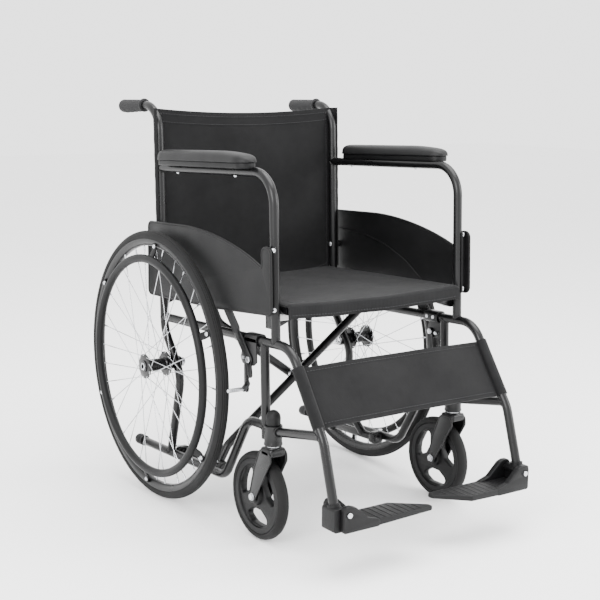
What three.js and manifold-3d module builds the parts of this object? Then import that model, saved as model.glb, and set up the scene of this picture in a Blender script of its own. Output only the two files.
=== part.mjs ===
// A folding manual wheelchair: two welded tube side frames joined by a cross brace, with
// spoked rear wheels, swivelling front casters, flip-up footplates and push-to-lock brakes.
// Millimetres. The floor is z = 0, the occupant faces -Y, and their right-hand side is -X.
import * as THREE from "three";
import Module from "manifold-3d";
import { mergeVertices } from "three/addons/utils/BufferGeometryUtils.js";

const wasm = await Module();
wasm.setup();

// ---------------------------------------------------------------- Driving dimensions

const GAP = 0.3; // left between two pieces that touch
const RUNNING = 0.6; // radial clearance of a pin in its bore or a sleeve in its clamp

// The side frames lean back about the rear axle. Frame heights are measured from that axle.
const LEAN = THREE.MathUtils.degToRad(2.2);
const TUBE = 9.5; // outer radius of the frame tube
const FRAME_X = 238.5; // centre plane of a side frame, from the middle of the chair
const TUBE_SIDES = 8;

const WHEEL = { radius: 300, segments: 40, tyreWidth: 24, tyreDepth: 20, rimWidth: 21, rimDepth: 13 };
WHEEL.x = FRAME_X + 46.5;
const HUB = { barrel: 13, flange: 27.5, thickness: 3, inner: -25, outer: 27, end: 6 };
const SPOKES = { count: 36, radius: 1.3, holes: 24, sweep: 62, stand: 1.5, rimStand: 2.2 };
const HAND_RIM = { radius: WHEEL.radius - 60, tube: 9, offset: 20, tabs: 6 };
HAND_RIM.tab = { width: 18, thickness: 4, lead: THREE.MathUtils.degToRad(5) };
const AXLE = { radius: 6, inner: FRAME_X - 26.5, nut: 11, nutLength: 9 };
AXLE.sleeve = { radius: 14, from: FRAME_X - 14.5, to: FRAME_X + 14.5 };

const CASTER = { radius: 92, width: 26, x: FRAME_X + 1.5, swivelY: -405, trail: 46 };
const CASTER_WHEEL = { tread: 14, rim: 14, hub: 18, hubWidth: 30, spokes: 3, spokeWidth: 34, web: 14 };
CASTER_WHEEL.segments = 32;
const FORK = { crown: 16, crownBelow: 5, cheek: 4, sideGap: 3.5, half: 20, stem: 6, cone: 19, eye: 11 };
const HOUSING = { radius: 18, length: 41, dome: 31 };
HOUSING.bottom = 2 * CASTER.radius + FORK.crownBelow + FORK.crown + 5;
HOUSING.top = HOUSING.bottom + HOUSING.length;
const CASTER_BOLT = { radius: 4, head: 7, headLength: 4 };

const FOOT = { hingeX: FRAME_X - 10.5, hingeZ: 132, y: -609, depth: 68, reach: FRAME_X - 30.5 };
const FOOT_SLAB = { top: 22, thickness: 14, tip: 8, cutX: 63, cutY: 52 };
const FOOT_LUG = { thickness: 12.7, radius: 16, back: 12, ribEnd: 75, pin: 5 };
const CLAMP = { half: TUBE + 4.5, bottom: 36, above: 10, collar: 4 };

const CANE = { y: 38, handleZ: 574, kinkZ: 72, kneeY: -31, kneeZ: -28, footY: 24, bend: 60 };
const GRIP = { start: 103, length: 105, radius: TUBE + 3.5, wall: 5 };
const ARM = { z: 436, postY: -414, bend: 64 };
const PAD = { back: 4, front: -358, width: 52, height: 41, outward: 13, edge: 9 };
const TOP_RAIL = { z: 100, bend: 60, kneeY: -466, shinY: -571, shinZ: -66, footY: -601.5 };
TOP_RAIL.footZ = FOOT.hingeZ - WHEEL.radius - 15;
const LOWER_RAIL = { z: -213, tailY: 175, bend: 45, rampY: -214, noseY: -308 };
LOWER_RAIL.noseZ = HOUSING.top - WHEEL.radius - 23;
const FRONT_POST_Y = -374;
const FOREBAR = { backZ: LOWER_RAIL.noseZ - 5 };
FOREBAR.frontZ = Math.max(LOWER_RAIL.noseZ + 17, TOP_RAIL.shinZ + 11);
const TIP = { radius: TUBE + 4, length: 30, end: 5 };

const BRACE = { x: FRAME_X - 25.5, kneeX: FRAME_X - 52.5, kneeRise: 134.5, bend: 40 };
BRACE.middleZ = -35;
BRACE.backY = -111;
BRACE.frontY = BRACE.backY - 28;
const PIVOT = { back: 15, front: -165, clampWidth: 14, clampHalf: TUBE + 5, sides: 12 };
const CENTRE_BOLT = { radius: 4, head: 8, headLength: 5, washer: 2 };
const SEAT_RAIL = { z: 166, back: 60, front: -428 };
const GUIDE = { width: 24, floor: 28, wall: 2.5, outward: 3, depth: 8, frontBehindPost: 21.5 };

const SEAT = { back: 35, front: -431, thickness: 10, above: 0.8 };
const BACK = { bottom: 178, top: 566, thickness: 8, behind: 6, clear: 1.2 };
const CALF = { startZ: 64, endZ: -42, thickness: 6 };

const SKIRT = { inner: FRAME_X + TUBE + 8.6, thickness: 3.5, back: 70, bottom: 152, top: 315, boss: 7 };
const SKIRT_FRONT = { y: -424, notchY: -398, notchZ: 252, top: 292, bottom: 161 };
const SKIRT_BOLTS = { top: 282, bottom: 173 };

const SHOE = { y: -WHEEL.radius - 18, z: 62, rodZ: -4, rod: 6, outer: WHEEL.x + 7, width: 16 };
SHOE.rodY = SHOE.y + 2;
const LEVER = { y: SHOE.y - 20, z: 60, length: 124, width: 21, tail: 30, restAngle: 41 };
const BRAKE = { clampBack: SHOE.y - 2, clampFront: LEVER.y - 24, plateBottom: 48, plate: 3, pin: 4 };
BRAKE.head = 2.5;

// ---------------------------------------------------------------- Materials

function finish(color, roughness, metalness) {
  return new THREE.MeshStandardMaterial({ color, roughness, metalness });
}
const POWDER_COAT = finish(0x17181a, 0.42, 0.35);
const MOULDED = finish(0x141416, 0.6, 0);
const RUBBER = finish(0x101011, 0.85, 0);
const CLOTH = finish(0x121214, 0.8, 0);
const STEEL = finish(0xb9bcc0, 0.3, 0.95);
const NYLON = finish(0xe6e6e1, 0.5, 0);

// ---------------------------------------------------------------- Shape helpers

const vec = (x, y, z) => new THREE.Vector3(x, y, z);

// Straight runs joined by arcs, sampled only at the ends of the runs and along the arcs.
class BentLine extends THREE.Curve {
  constructor(corners, bend) {
    super();
    this.stations = [corners[0]];
    for (let i = 1; i < corners.length - 1; i++) {
      this.addArc(corners[i - 1], corners[i], corners[i + 1], bend);
    }
    this.stations.push(corners[corners.length - 1]);
  }

  addArc(before, corner, after, bend) {
    const into = corner.clone().sub(before).normalize();
    const out = after.clone().sub(corner).normalize();
    const turn = into.angleTo(out);
    const inward = out.clone().addScaledVector(into, -Math.cos(turn)).normalize();
    const start = corner.clone().addScaledVector(into, -bend * Math.tan(turn / 2));
    const steps = Math.max(1, Math.round(turn / THREE.MathUtils.degToRad(18)));
    for (let i = 0; i <= steps; i++) {
      const angle = (turn * i) / steps;
      const point = start.clone().addScaledVector(into, bend * Math.sin(angle));
      this.stations.push(point.addScaledVector(inward, bend * (1 - Math.cos(angle))));
    }
  }

  getPointAt(share) {
    return this.stations[Math.round(share * (this.stations.length - 1))].clone();
  }

  getTangentAt(share) {
    const last = this.stations.length - 1;
    const i = Math.round(share * last);
    const into = this.stations[i].clone().sub(this.stations[Math.max(i - 1, 0)]).normalize();
    const out = this.stations[Math.min(i + 1, last)].clone().sub(this.stations[i]).normalize();
    return into.add(out).normalize();
  }

  getSpacedPoints() {
    return this.stations.map((point) => point.clone());
  }
}

// A closed geometry as a solid that can be cut and joined.
function solid(geometry) {
  const bare = geometry.index ? geometry.toNonIndexed() : geometry.clone();
  bare.deleteAttribute("uv");
  bare.deleteAttribute("normal");
  const merged = mergeVertices(bare);
  const vertProperties = merged.attributes.position.array;
  const triVerts = new Uint32Array(merged.index.array);
  return new wasm.Manifold(new wasm.Mesh({ numProp: 3, vertProperties, triVerts }));
}

function join(...bodies) {
  return bodies.reduce((sum, body) => sum.add(body));
}

function geometryOf(body) {
  const made = body.getMesh();
  const geometry = new THREE.BufferGeometry();
  const positions = new Float32Array(made.vertProperties);
  geometry.setAttribute("position", new THREE.BufferAttribute(positions, 3));
  geometry.setIndex(new THREE.BufferAttribute(new Uint32Array(made.triVerts), 1));
  geometry.computeVertexNormals();
  return geometry;
}

// A round bar along a bent line.
function bar(corners, radius, bend = 1, sides = TUBE_SIDES) {
  const line = new BentLine(corners, bend);
  const ring = [];
  for (let i = 0; i < sides; i++) {
    const angle = (2 * Math.PI * (i + 0.5)) / sides;
    ring.push(new THREE.Vector2(radius * Math.cos(angle), radius * Math.sin(angle)));
  }
  const steps = line.stations.length - 1;
  const options = { extrudePath: line, steps, bevelEnabled: false };
  return solid(new THREE.ExtrudeGeometry(new THREE.Shape(ring), options));
}

function block([x0, x1], [y0, y1], [z0, z1]) {
  const box = new THREE.BoxGeometry(Math.abs(x1 - x0), Math.abs(y1 - y0), Math.abs(z1 - z0));
  return solid(box.translate((x0 + x1) / 2, (y0 + y1) / 2, (z0 + z1) / 2));
}

const ABOUT = {
  x: new THREE.Matrix4().makeRotationZ(-Math.PI / 2),
  y: new THREE.Matrix4(),
  z: new THREE.Matrix4().makeRotationX(Math.PI / 2),
};

// A pin along an axis, from one place on it to another, at a point of the other two.
function pin(axis, from, to, radius, at, sides = 12) {
  const [low, high] = [Math.min(from, to), Math.max(from, to)];
  const made = new THREE.CylinderGeometry(radius, radius, high - low, sides);
  made.translate(0, (low + high) / 2, 0).applyMatrix4(ABOUT[axis]);
  return solid(made.translate(at.x, at.y, at.z));
}

// A profile of [radius, place along the axis] points turned round an axis.
function turned(axis, profile, segments, at = vec(0, 0, 0)) {
  const points = profile.map(([radius, along]) => new THREE.Vector2(radius, along));
  if (THREE.ShapeUtils.area(points) < 0) points.reverse();
  const first = points[0];
  const last = points[points.length - 1];
  if (first.x > 0 || last.x > 0) points.push(first.clone());
  const made = new THREE.LatheGeometry(points, segments);
  made.applyMatrix4(ABOUT[axis]);
  return solid(made.translate(at.x, at.y, at.z));
}

// An outline drawn in y and z, as thick as the run from x0 to x1.
function sidePlate(outline, x0, x1) {
  const depth = Math.abs(x1 - x0);
  const made = new THREE.ExtrudeGeometry(outline, { depth, bevelEnabled: false, curveSegments: 8 });
  const upright = new THREE.Matrix4().makeBasis(vec(0, 1, 0), vec(0, 0, 1), vec(1, 0, 0));
  return solid(made.applyMatrix4(upright).translate(Math.min(x0, x1), 0, 0));
}

// An outline drawn in x and z, as thick as the run from y0 to y1.
function frontPlate(outline, y0, y1) {
  const depth = Math.abs(y1 - y0);
  const made = new THREE.ExtrudeGeometry(outline, { depth, bevelEnabled: false, curveSegments: 6 });
  const upright = new THREE.Matrix4().makeBasis(vec(1, 0, 0), vec(0, 0, 1), vec(0, -1, 0));
  return solid(made.applyMatrix4(upright).translate(0, Math.max(y0, y1), 0));
}

function outline(points) {
  return new THREE.Shape(points.map(([a, b]) => new THREE.Vector2(a, b)));
}

const planePoints = (x, points) => points.map(([y, z]) => vec(x, y, z));

// Places given from the floor, turned into the leaning frame's own places.
const TO_FRAME = new THREE.Matrix4()
  .makeRotationX(LEAN)
  .multiply(new THREE.Matrix4().makeTranslation(0, 0, -WHEEL.radius));
const TO_FLOOR = TO_FRAME.clone().invert();

// ---------------------------------------------------------------- The assembly tree

const chair = new THREE.Group();
const assembly = new THREE.Group();
const leaning = new THREE.Group();
leaning.position.z = WHEEL.radius;
leaning.rotation.x = -LEAN;
assembly.add(leaning);
chair.add(assembly);

function addPiece(group, name, body, material) {
  const mesh = new THREE.Mesh(geometryOf(body), material);
  mesh.name = name;
  group.add(mesh);
}

// ---------------------------------------------------------------- Side frame tubes

const gripEnd = GRIP.start + GRIP.length;
const caneLine = [
  [gripEnd - GRIP.wall - GAP, CANE.handleZ],
  [CANE.y, CANE.handleZ],
  [CANE.y, CANE.kinkZ],
  [CANE.kneeY, CANE.kneeZ],
  [CANE.footY, LOWER_RAIL.z],
];
const armLine = [
  [CANE.y, ARM.z],
  [ARM.postY, ARM.z],
  [ARM.postY, TOP_RAIL.z],
];
const topRailLine = [
  [CANE.y, TOP_RAIL.z],
  [TOP_RAIL.kneeY, TOP_RAIL.z],
  [TOP_RAIL.shinY, TOP_RAIL.shinZ],
  [TOP_RAIL.footY, TOP_RAIL.footZ],
];
const lowerRailLine = [
  [LOWER_RAIL.tailY, LOWER_RAIL.z],
  [LOWER_RAIL.rampY, LOWER_RAIL.z],
  [LOWER_RAIL.noseY, LOWER_RAIL.noseZ],
  [FRONT_POST_Y, LOWER_RAIL.noseZ],
];

const BENDS = new Map([
  [caneLine, CANE.bend],
  [armLine, ARM.bend],
  [topRailLine, TOP_RAIL.bend],
  [lowerRailLine, LOWER_RAIL.bend],
]);

// One frame tube; a wider copy of it is what its neighbours are cut with.
function frameTube(sign, line, extra = 0) {
  return bar(planePoints(sign * FRAME_X, line), TUBE + extra, BENDS.get(line));
}

function backCane(sign) {
  const x = sign * FRAME_X;
  const { from, to, radius } = AXLE.sleeve;
  const sleeve = pin("x", sign * from, sign * to, radius, vec(0, 0, 0), 16);
  const bore = pin("x", 0, sign * WHEEL.x, AXLE.radius + RUNNING, vec(0, 0, 0));
  const cane = frameTube(sign, caneLine).subtract(frameTube(sign, lowerRailLine, GAP));
  const foot = block([x - 2 * TUBE, x + 2 * TUBE], [-60, 90], [LOWER_RAIL.z - 40, LOWER_RAIL.z]);
  return cane.subtract(foot).subtract(pivotClamp(sign, PIVOT.back, GAP)).add(sleeve).subtract(bore);
}

function armTube(sign) {
  const tube = frameTube(sign, armLine);
  return tube.subtract(frameTube(sign, caneLine, GAP)).subtract(frameTube(sign, topRailLine, GAP));
}

function topRail(sign) {
  return frameTube(sign, topRailLine).subtract(frameTube(sign, caneLine, GAP));
}

// The clamp that holds one end of a brace's pivot sleeve to the lower rail.
function pivotClamp(sign, back, extra = 0) {
  const far = sign * (FRAME_X - TUBE + 3 + extra);
  const near = sign * (BRACE.x - PIVOT.clampHalf - extra);
  const half = PIVOT.clampHalf + extra;
  const run = [back - PIVOT.clampWidth - extra, back + extra];
  return block([near, far], run, [LOWER_RAIL.z - half, LOWER_RAIL.z + half]);
}

function lowerRail(sign) {
  const rail = frameTube(sign, lowerRailLine).subtract(postTube(sign, GAP));
  const clamps = join(pivotClamp(sign, PIVOT.back), pivotClamp(sign, PIVOT.front + PIVOT.clampWidth));
  const sleeve = vec(sign * BRACE.x, 0, LOWER_RAIL.z);
  const bore = pin("y", PIVOT.front - 5, PIVOT.back + 5, (TUBE + RUNNING) / 0.96, sleeve, 16);
  return join(rail, clamps).subtract(bore);
}

function postTube(sign, extra = 0) {
  const bottom = vec(0, CASTER.swivelY, HOUSING.bottom + 8).applyMatrix4(TO_FRAME).z;
  const line = [
    [FRONT_POST_Y, TOP_RAIL.z],
    [FRONT_POST_Y, bottom],
  ];
  return bar(planePoints(sign * FRAME_X, line), TUBE + extra);
}

// The upright in front, the caster housing welded to it and the bar on to the leg tube.
function frontPost(sign) {
  const topRailWide = frameTube(sign, topRailLine, GAP);
  const post = postTube(sign).subtract(topRailWide);
  const housingAt = vec(sign * CASTER.x, CASTER.swivelY, 0);
  const housing = uprightSolid(pinGeometry(HOUSING.bottom, HOUSING.top, HOUSING.radius, 20, housingAt));
  const bore = uprightSolid(pinGeometry(0, HOUSING.top + 1, FORK.stem + RUNNING, 12, housingAt));
  const web = block(
    [sign * (FRAME_X - 5), sign * (FRAME_X + 5)],
    [FRONT_POST_Y, CASTER.swivelY - 6],
    [LOWER_RAIL.noseZ - 10, LOWER_RAIL.noseZ + 2],
  );
  const slope = (TOP_RAIL.shinY - TOP_RAIL.kneeY) / (TOP_RAIL.shinZ - TOP_RAIL.z);
  const reach = TOP_RAIL.kneeY + slope * (FOREBAR.frontZ - TOP_RAIL.z);
  const forebarLine = [
    [CASTER.swivelY - 8, FOREBAR.backZ],
    [reach, FOREBAR.frontZ],
  ];
  const forebar = bar(planePoints(sign * FRAME_X, forebarLine), TUBE);
  const welded = join(forebar.subtract(topRailWide), web, housing);
  return join(post, welded).subtract(bore);
}

function pinGeometry(from, to, radius, sides, at) {
  const made = new THREE.CylinderGeometry(radius, radius, to - from, sides);
  made.translate(0, (from + to) / 2, 0).applyMatrix4(ABOUT.z);
  return made.translate(at.x, at.y, at.z);
}

// A shape given from the floor, as a solid in the leaning frame.
function uprightSolid(geometry) {
  return solid(geometry.applyMatrix4(TO_FRAME));
}

// ---------------------------------------------------------------- Pieces on the side frame

function pushGrip(sign) {
  const inner = TUBE + GAP + 0.1;
  const [wide, end] = [GRIP.radius, GRIP.length];
  const profile = [
    [inner, 0],
    [wide + 2, 0],
    [wide + 2, 5],
    [wide - 0.5, 8],
    [wide, end * 0.4],
    [wide + 0.5, end * 0.85],
    [wide + 1, end - 4],
    [wide - 3, end],
    [0, end],
    [0, end - GRIP.wall],
    [inner, end - GRIP.wall],
  ];
  return turned("y", profile, 16, vec(sign * FRAME_X, GRIP.start, CANE.handleZ));
}

function armPad(sign) {
  const half = PAD.width / 2 - PAD.edge;
  const length = PAD.back - PAD.front;
  const plan = new THREE.Shape();
  plan.absarc(0, length / 2 - half - PAD.edge, half, 0, Math.PI);
  plan.absarc(0, -(length / 2 - half - PAD.edge), half, Math.PI, 2 * Math.PI);
  const options = {
    depth: PAD.height - 2 * PAD.edge,
    bevelEnabled: true,
    bevelSize: PAD.edge,
    bevelThickness: PAD.edge,
    bevelSegments: 2,
    curveSegments: 4,
  };
  const made = new THREE.ExtrudeGeometry(plan, options);
  const middle = (PAD.back + PAD.front) / 2;
  made.translate(sign * (FRAME_X + PAD.outward), middle, ARM.z + PAD.edge);
  return solid(made).subtract(frameTube(sign, armLine, GAP)).subtract(frameTube(sign, caneLine, GAP));
}

function skirtOutline() {
  const corner = 10;
  const shape = new THREE.Shape();
  shape.moveTo(SKIRT.back, SKIRT.bottom);
  shape.lineTo(SKIRT.back - corner, SKIRT.top - corner);
  shape.quadraticCurveTo(SKIRT.back - corner, SKIRT.top, SKIRT.back - 2 * corner, SKIRT.top);
  shape.lineTo(-90, SKIRT.top);
  shape.bezierCurveTo(-200, SKIRT.top, -330, SKIRT.top - 30, SKIRT_FRONT.notchY, SKIRT_FRONT.notchZ);
  shape.lineTo(SKIRT_FRONT.notchY, SKIRT_FRONT.top);
  shape.lineTo(SKIRT_FRONT.y, SKIRT_FRONT.top);
  shape.lineTo(SKIRT_FRONT.y, SKIRT_FRONT.bottom);
  shape.lineTo(SKIRT_FRONT.notchY, SKIRT_FRONT.bottom);
  shape.lineTo(ARM.postY / 2, SKIRT.bottom);
  shape.closePath();
  return shape;
}

// A moulded panel on bosses that screw to the arm post and the back cane.
function skirtGuard(sign) {
  const faces = [sign * SKIRT.inner, sign * (SKIRT.inner + SKIRT.thickness)];
  const panel = sidePlate(skirtOutline(), ...faces);
  const screws = [
    [ARM.postY, SKIRT_BOLTS.top],
    [ARM.postY, SKIRT_BOLTS.bottom],
    [CANE.y, (SKIRT.top + SKIRT.bottom) / 2],
  ];
  const from = sign * (FRAME_X + TUBE + GAP);
  const bosses = screws.map(([y, z]) => pin("x", from, faces[1], SKIRT.boss, vec(0, y, z), 8));
  return join(panel, ...bosses);
}

function tipCap(sign) {
  const inner = TUBE + GAP + 0.1;
  const profile = [
    [inner, 0],
    [TIP.radius, 0],
    [TIP.radius, TIP.length - 3],
    [TIP.radius - 3, TIP.length],
    [0, TIP.length],
    [0, TIP.length - TIP.end],
    [inner, TIP.length - TIP.end],
  ];
  const start = LOWER_RAIL.tailY + GAP + TIP.end - TIP.length;
  return turned("y", profile, 12, vec(sign * FRAME_X, start, LOWER_RAIL.z));
}

function casterCap() {
  const radius = HOUSING.radius - 3;
  const profile = [
    [0, 0],
    [radius, 0],
    [radius, HOUSING.dome * 0.35],
    [radius * 0.85, HOUSING.dome * 0.75],
    [radius * 0.45, HOUSING.dome],
    [0, HOUSING.dome],
  ];
  return turned("z", profile, 16);
}

// A nylon channel that the seat rail drops into, held by the upright beside it.
function guideSaddle(sign, middle) {
  const trough = TUBE + 2 * RUNNING;
  const outer = sign * (FRAME_X + GUIDE.outward);
  const inner = sign * (BRACE.x - trough - GUIDE.wall);
  const run = [middle - GUIDE.width / 2, middle + GUIDE.width / 2];
  const bed = SEAT_RAIL.z - trough;
  const body = block([inner, outer], run, [bed - GUIDE.floor, bed + GUIDE.depth]);
  const sides = [sign * (BRACE.x - trough), sign * (BRACE.x + trough)];
  const mouth = block(sides, [run[0] - 1, run[1] + 1], [bed, SEAT_RAIL.z + 2 * TUBE]);
  return body.subtract(mouth);
}

function frontGuide(sign) {
  const middle = ARM.postY + GUIDE.frontBehindPost;
  return guideSaddle(sign, middle).subtract(frameTube(sign, armLine, GAP));
}

function rearGuide(sign) {
  return guideSaddle(sign, CANE.y).subtract(frameTube(sign, caneLine, GAP));
}

// ---------------------------------------------------------------- Brakes

const brakeFace = FRAME_X + TUBE + GAP; // inner face of the bracket's plate
const leverFace = brakeFace + BRAKE.plate + GAP;
const shoeFace = brakeFace - GAP - BRAKE.plate;

function brakeBracket(sign) {
  const [back, front] = [BRAKE.clampBack, BRAKE.clampFront];
  const outer = sign * (brakeFace + BRAKE.plate);
  const shell = TUBE + 4;
  const wide = [sign * (FRAME_X - shell), outer];
  const clamp = block(wide, [front, back], [TOP_RAIL.z - shell, TOP_RAIL.z + shell]);
  const plate = outline([
    [front, TOP_RAIL.z],
    [front, BRAKE.plateBottom + 8],
    [front + 12, BRAKE.plateBottom],
    [SHOE.y + 8, BRAKE.plateBottom],
    [SHOE.y + 16, BRAKE.plateBottom + 12],
    [back + 8, TOP_RAIL.z - shell],
    [back, TOP_RAIL.z],
  ]);
  const web = sidePlate(plate, sign * brakeFace, outer);
  const head = sign * BRAKE.head;
  const leverEnd = sign * (leverFace + BRAKE.plate + GAP);
  const shoeEnd = sign * (shoeFace - GAP);
  const leverPin = vec(0, LEVER.y, LEVER.z);
  const shoePin = vec(0, SHOE.y, SHOE.z);
  const pieces = [
    pin("x", outer - sign, leverEnd + head, BRAKE.pin, leverPin),
    pin("x", leverEnd, leverEnd + head, 2 * BRAKE.pin, leverPin),
    pin("x", outer - sign, shoeEnd - head, BRAKE.pin, shoePin),
    pin("x", shoeEnd, shoeEnd - head, 2 * BRAKE.pin, shoePin),
  ];
  const tube = frameTube(sign, topRailLine, GAP);
  return join(clamp.subtract(tube), web, ...pieces);
}

// A flat bar with round ends between two points of the side view.
function flatBar(from, to, width, x0, x1) {
  const along = Math.atan2(to[1] - from[1], to[0] - from[0]);
  const shape = new THREE.Shape();
  shape.absarc(from[0], from[1], width / 2, along + Math.PI / 2, along + 1.5 * Math.PI);
  shape.absarc(to[0], to[1], width / 2, along - Math.PI / 2, along + Math.PI / 2);
  return sidePlate(shape, x0, x1);
}

function brakeLever(sign) {
  const angle = THREE.MathUtils.degToRad(LEVER.restAngle);
  const up = [Math.sin(angle), Math.cos(angle)];
  const hub = [LEVER.y, LEVER.z];
  const place = (reach) => [hub[0] + up[0] * reach, hub[1] + up[1] * reach];
  const faces = [sign * leverFace, sign * (leverFace + BRAKE.plate)];
  const handle = flatBar(hub, place(LEVER.length), LEVER.width, ...faces);
  const tail = flatBar(hub, [hub[0] - 3, hub[1] - LEVER.tail], LEVER.width * 0.7, ...faces);
  const grip = [place(LEVER.length * 0.6), place(LEVER.length)];
  const sleeve = flatBar(...grip, LEVER.width + 3, sign * (brakeFace + 0.5), faces[1]);
  const bore = pin("x", sign * brakeFace, sign * (leverFace + 9), BRAKE.pin + RUNNING, vec(0, ...hub));
  return join(handle, tail, sleeve).subtract(bore);
}

function brakeShoe(sign) {
  const faces = [sign * shoeFace, sign * (shoeFace + BRAKE.plate)];
  const arm = flatBar([SHOE.y, SHOE.z], [SHOE.rodY, SHOE.rodZ], SHOE.width, ...faces);
  const rod = pin("x", sign * shoeFace, sign * SHOE.outer, SHOE.rod, vec(0, SHOE.rodY, SHOE.rodZ));
  const linkFaces = [sign * leverFace, sign * (leverFace + BRAKE.plate)];
  const linkEnds = [
    [SHOE.rodY, SHOE.rodZ],
    [SHOE.rodY - 16, SHOE.rodZ + 14],
  ];
  const link = flatBar(...linkEnds, SHOE.width * 0.8, ...linkFaces);
  const bore = pin("x", 0, sign * brakeFace, BRAKE.pin + RUNNING, vec(0, SHOE.y, SHOE.z));
  return join(arm, rod, link).subtract(bore);
}

// ---------------------------------------------------------------- Rear wheel

const tyreInner = WHEEL.radius - WHEEL.tyreDepth;

function wheelAxle(sign) {
  const tip = WHEEL.x + HUB.outer + HUB.end;
  const origin = vec(0, 0, 0);
  const shaft = pin("x", sign * AXLE.inner, sign * tip, AXLE.radius, origin);
  const inside = sign * (AXLE.sleeve.from - GAP);
  const nut = pin("x", inside, inside - sign * AXLE.nutLength, AXLE.nut, origin, 6);
  const outside = sign * (WHEEL.x + HUB.outer + HUB.thickness + GAP);
  const cap = pin("x", outside, sign * tip, AXLE.nut, origin, 12);
  return join(shaft, nut, cap);
}

function tyre() {
  const half = WHEEL.tyreWidth / 2;
  const seat = WHEEL.rimWidth / 2 - 3 - GAP;
  const side = [
    [tyreInner + GAP, seat],
    [tyreInner + 4, half],
    [WHEEL.radius - 7, half - 0.5],
    [WHEEL.radius, half / 3],
  ];
  return turned("x", mirrored(side), WHEEL.segments);
}

// A half profile, from the inside out, completed by its mirror image across the wheel plane.
function mirrored(side) {
  const other = side.map(([radius, along]) => [radius, -along]).reverse();
  return [...side, ...other];
}

function wheelRim() {
  const half = WHEEL.rimWidth / 2;
  const side = [
    [tyreInner, half - 3 + 0.5],
    [tyreInner + 2, half],
    [tyreInner - 7, half],
    [tyreInner - WHEEL.rimDepth, half - 4.5],
  ];
  return turned("x", mirrored(side), WHEEL.segments);
}

function spoke(hubAngle, rimAngle, hubX, rimX) {
  const facet = Math.cos(Math.PI / WHEEL.segments);
  const rimRadius = (tyreInner - WHEEL.rimDepth) * facet - 2 * GAP;
  const polar = (radius, angle, x) => vec(x, radius * Math.sin(angle), radius * Math.cos(angle));
  const ends = [polar(SPOKES.holes, hubAngle, hubX), polar(rimRadius, rimAngle, rimX)];
  return bar(ends, SPOKES.radius, 1, 4);
}

// The hub with its crossed spokes, laced in pairs from each flange.
function hubSpokes(sign) {
  const { inner, outer, thickness, flange, barrel } = HUB;
  const profile = [
    [AXLE.radius + RUNNING, inner - thickness],
    [barrel, inner - thickness],
    [flange, inner - thickness / 2],
    [flange, inner + thickness / 2],
    [barrel, inner + thickness],
    [barrel, outer - thickness],
    [flange, outer - thickness / 2],
    [flange, outer + thickness / 2],
    [barrel, outer + thickness],
    [AXLE.radius + RUNNING, outer + thickness],
  ];
  const hub = turned("x", profile.map(([radius, along]) => [radius, sign * along]), 20);
  const perSide = SPOKES.count / 2;
  const sweep = THREE.MathUtils.degToRad(SPOKES.sweep);
  const spokes = [];
  for (let i = 0; i < SPOKES.count; i++) {
    const onOuter = i % 2;
    const leading = Math.floor(i / 2) % 2 ? 1 : -1;
    const rimAngle = (2 * Math.PI * i) / SPOKES.count;
    const hubAngle = (2 * Math.PI * (Math.floor(i / 2) + 0.5 * onOuter)) / perSide + leading * sweep;
    const layer = leading * SPOKES.stand; // leading and trailing spokes pass without touching
    const flangeX = sign * ((onOuter ? outer : inner) + layer);
    const rimX = sign * ((onOuter ? SPOKES.rimStand : -SPOKES.rimStand) + layer);
    spokes.push(spoke(hubAngle, rimAngle, flangeX, rimX));
  }
  return join(hub, ...spokes);
}

function handRim(sign) {
  const middle = sign * HAND_RIM.offset;
  const ring = [];
  for (let i = 0; i < 8; i++) {
    const angle = (Math.PI * (i + 0.5)) / 4;
    ring.push([
      HAND_RIM.radius + HAND_RIM.tube * Math.cos(angle),
      middle + HAND_RIM.tube * Math.sin(angle),
    ]);
  }
  const rimSide = WHEEL.rimWidth / 2 + GAP;
  const faces = [sign * rimSide, sign * (rimSide + HAND_RIM.tab.thickness)];
  const reach = tyreInner - 3;
  const tabs = [];
  for (let i = 0; i < HAND_RIM.tabs; i++) {
    const tab = new THREE.BoxGeometry(HAND_RIM.tab.thickness, HAND_RIM.tab.width, reach - HAND_RIM.radius);
    tab.translate((faces[0] + faces[1]) / 2, 0, (reach + HAND_RIM.radius) / 2);
    tab.rotateX((2 * Math.PI * i) / HAND_RIM.tabs + HAND_RIM.tab.lead);
    tabs.push(solid(tab));
  }
  return join(turned("x", ring, WHEEL.segments), ...tabs);
}

// ---------------------------------------------------------------- Casters

const casterRimRadius = CASTER.radius - CASTER_WHEEL.tread;
const crownBottom = 2 * CASTER.radius + FORK.crownBelow;
const cheekInner = CASTER.width / 2 + FORK.sideGap;
const cheekOuter = cheekInner + FORK.cheek;

function casterTyre() {
  const half = CASTER.width / 2;
  const side = [
    [casterRimRadius + GAP, half - 2],
    [casterRimRadius + 6, half],
    [CASTER.radius - 2, half - 4],
    [CASTER.radius, half - 9],
  ];
  return turned("x", mirrored(side), CASTER_WHEEL.segments);
}

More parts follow.
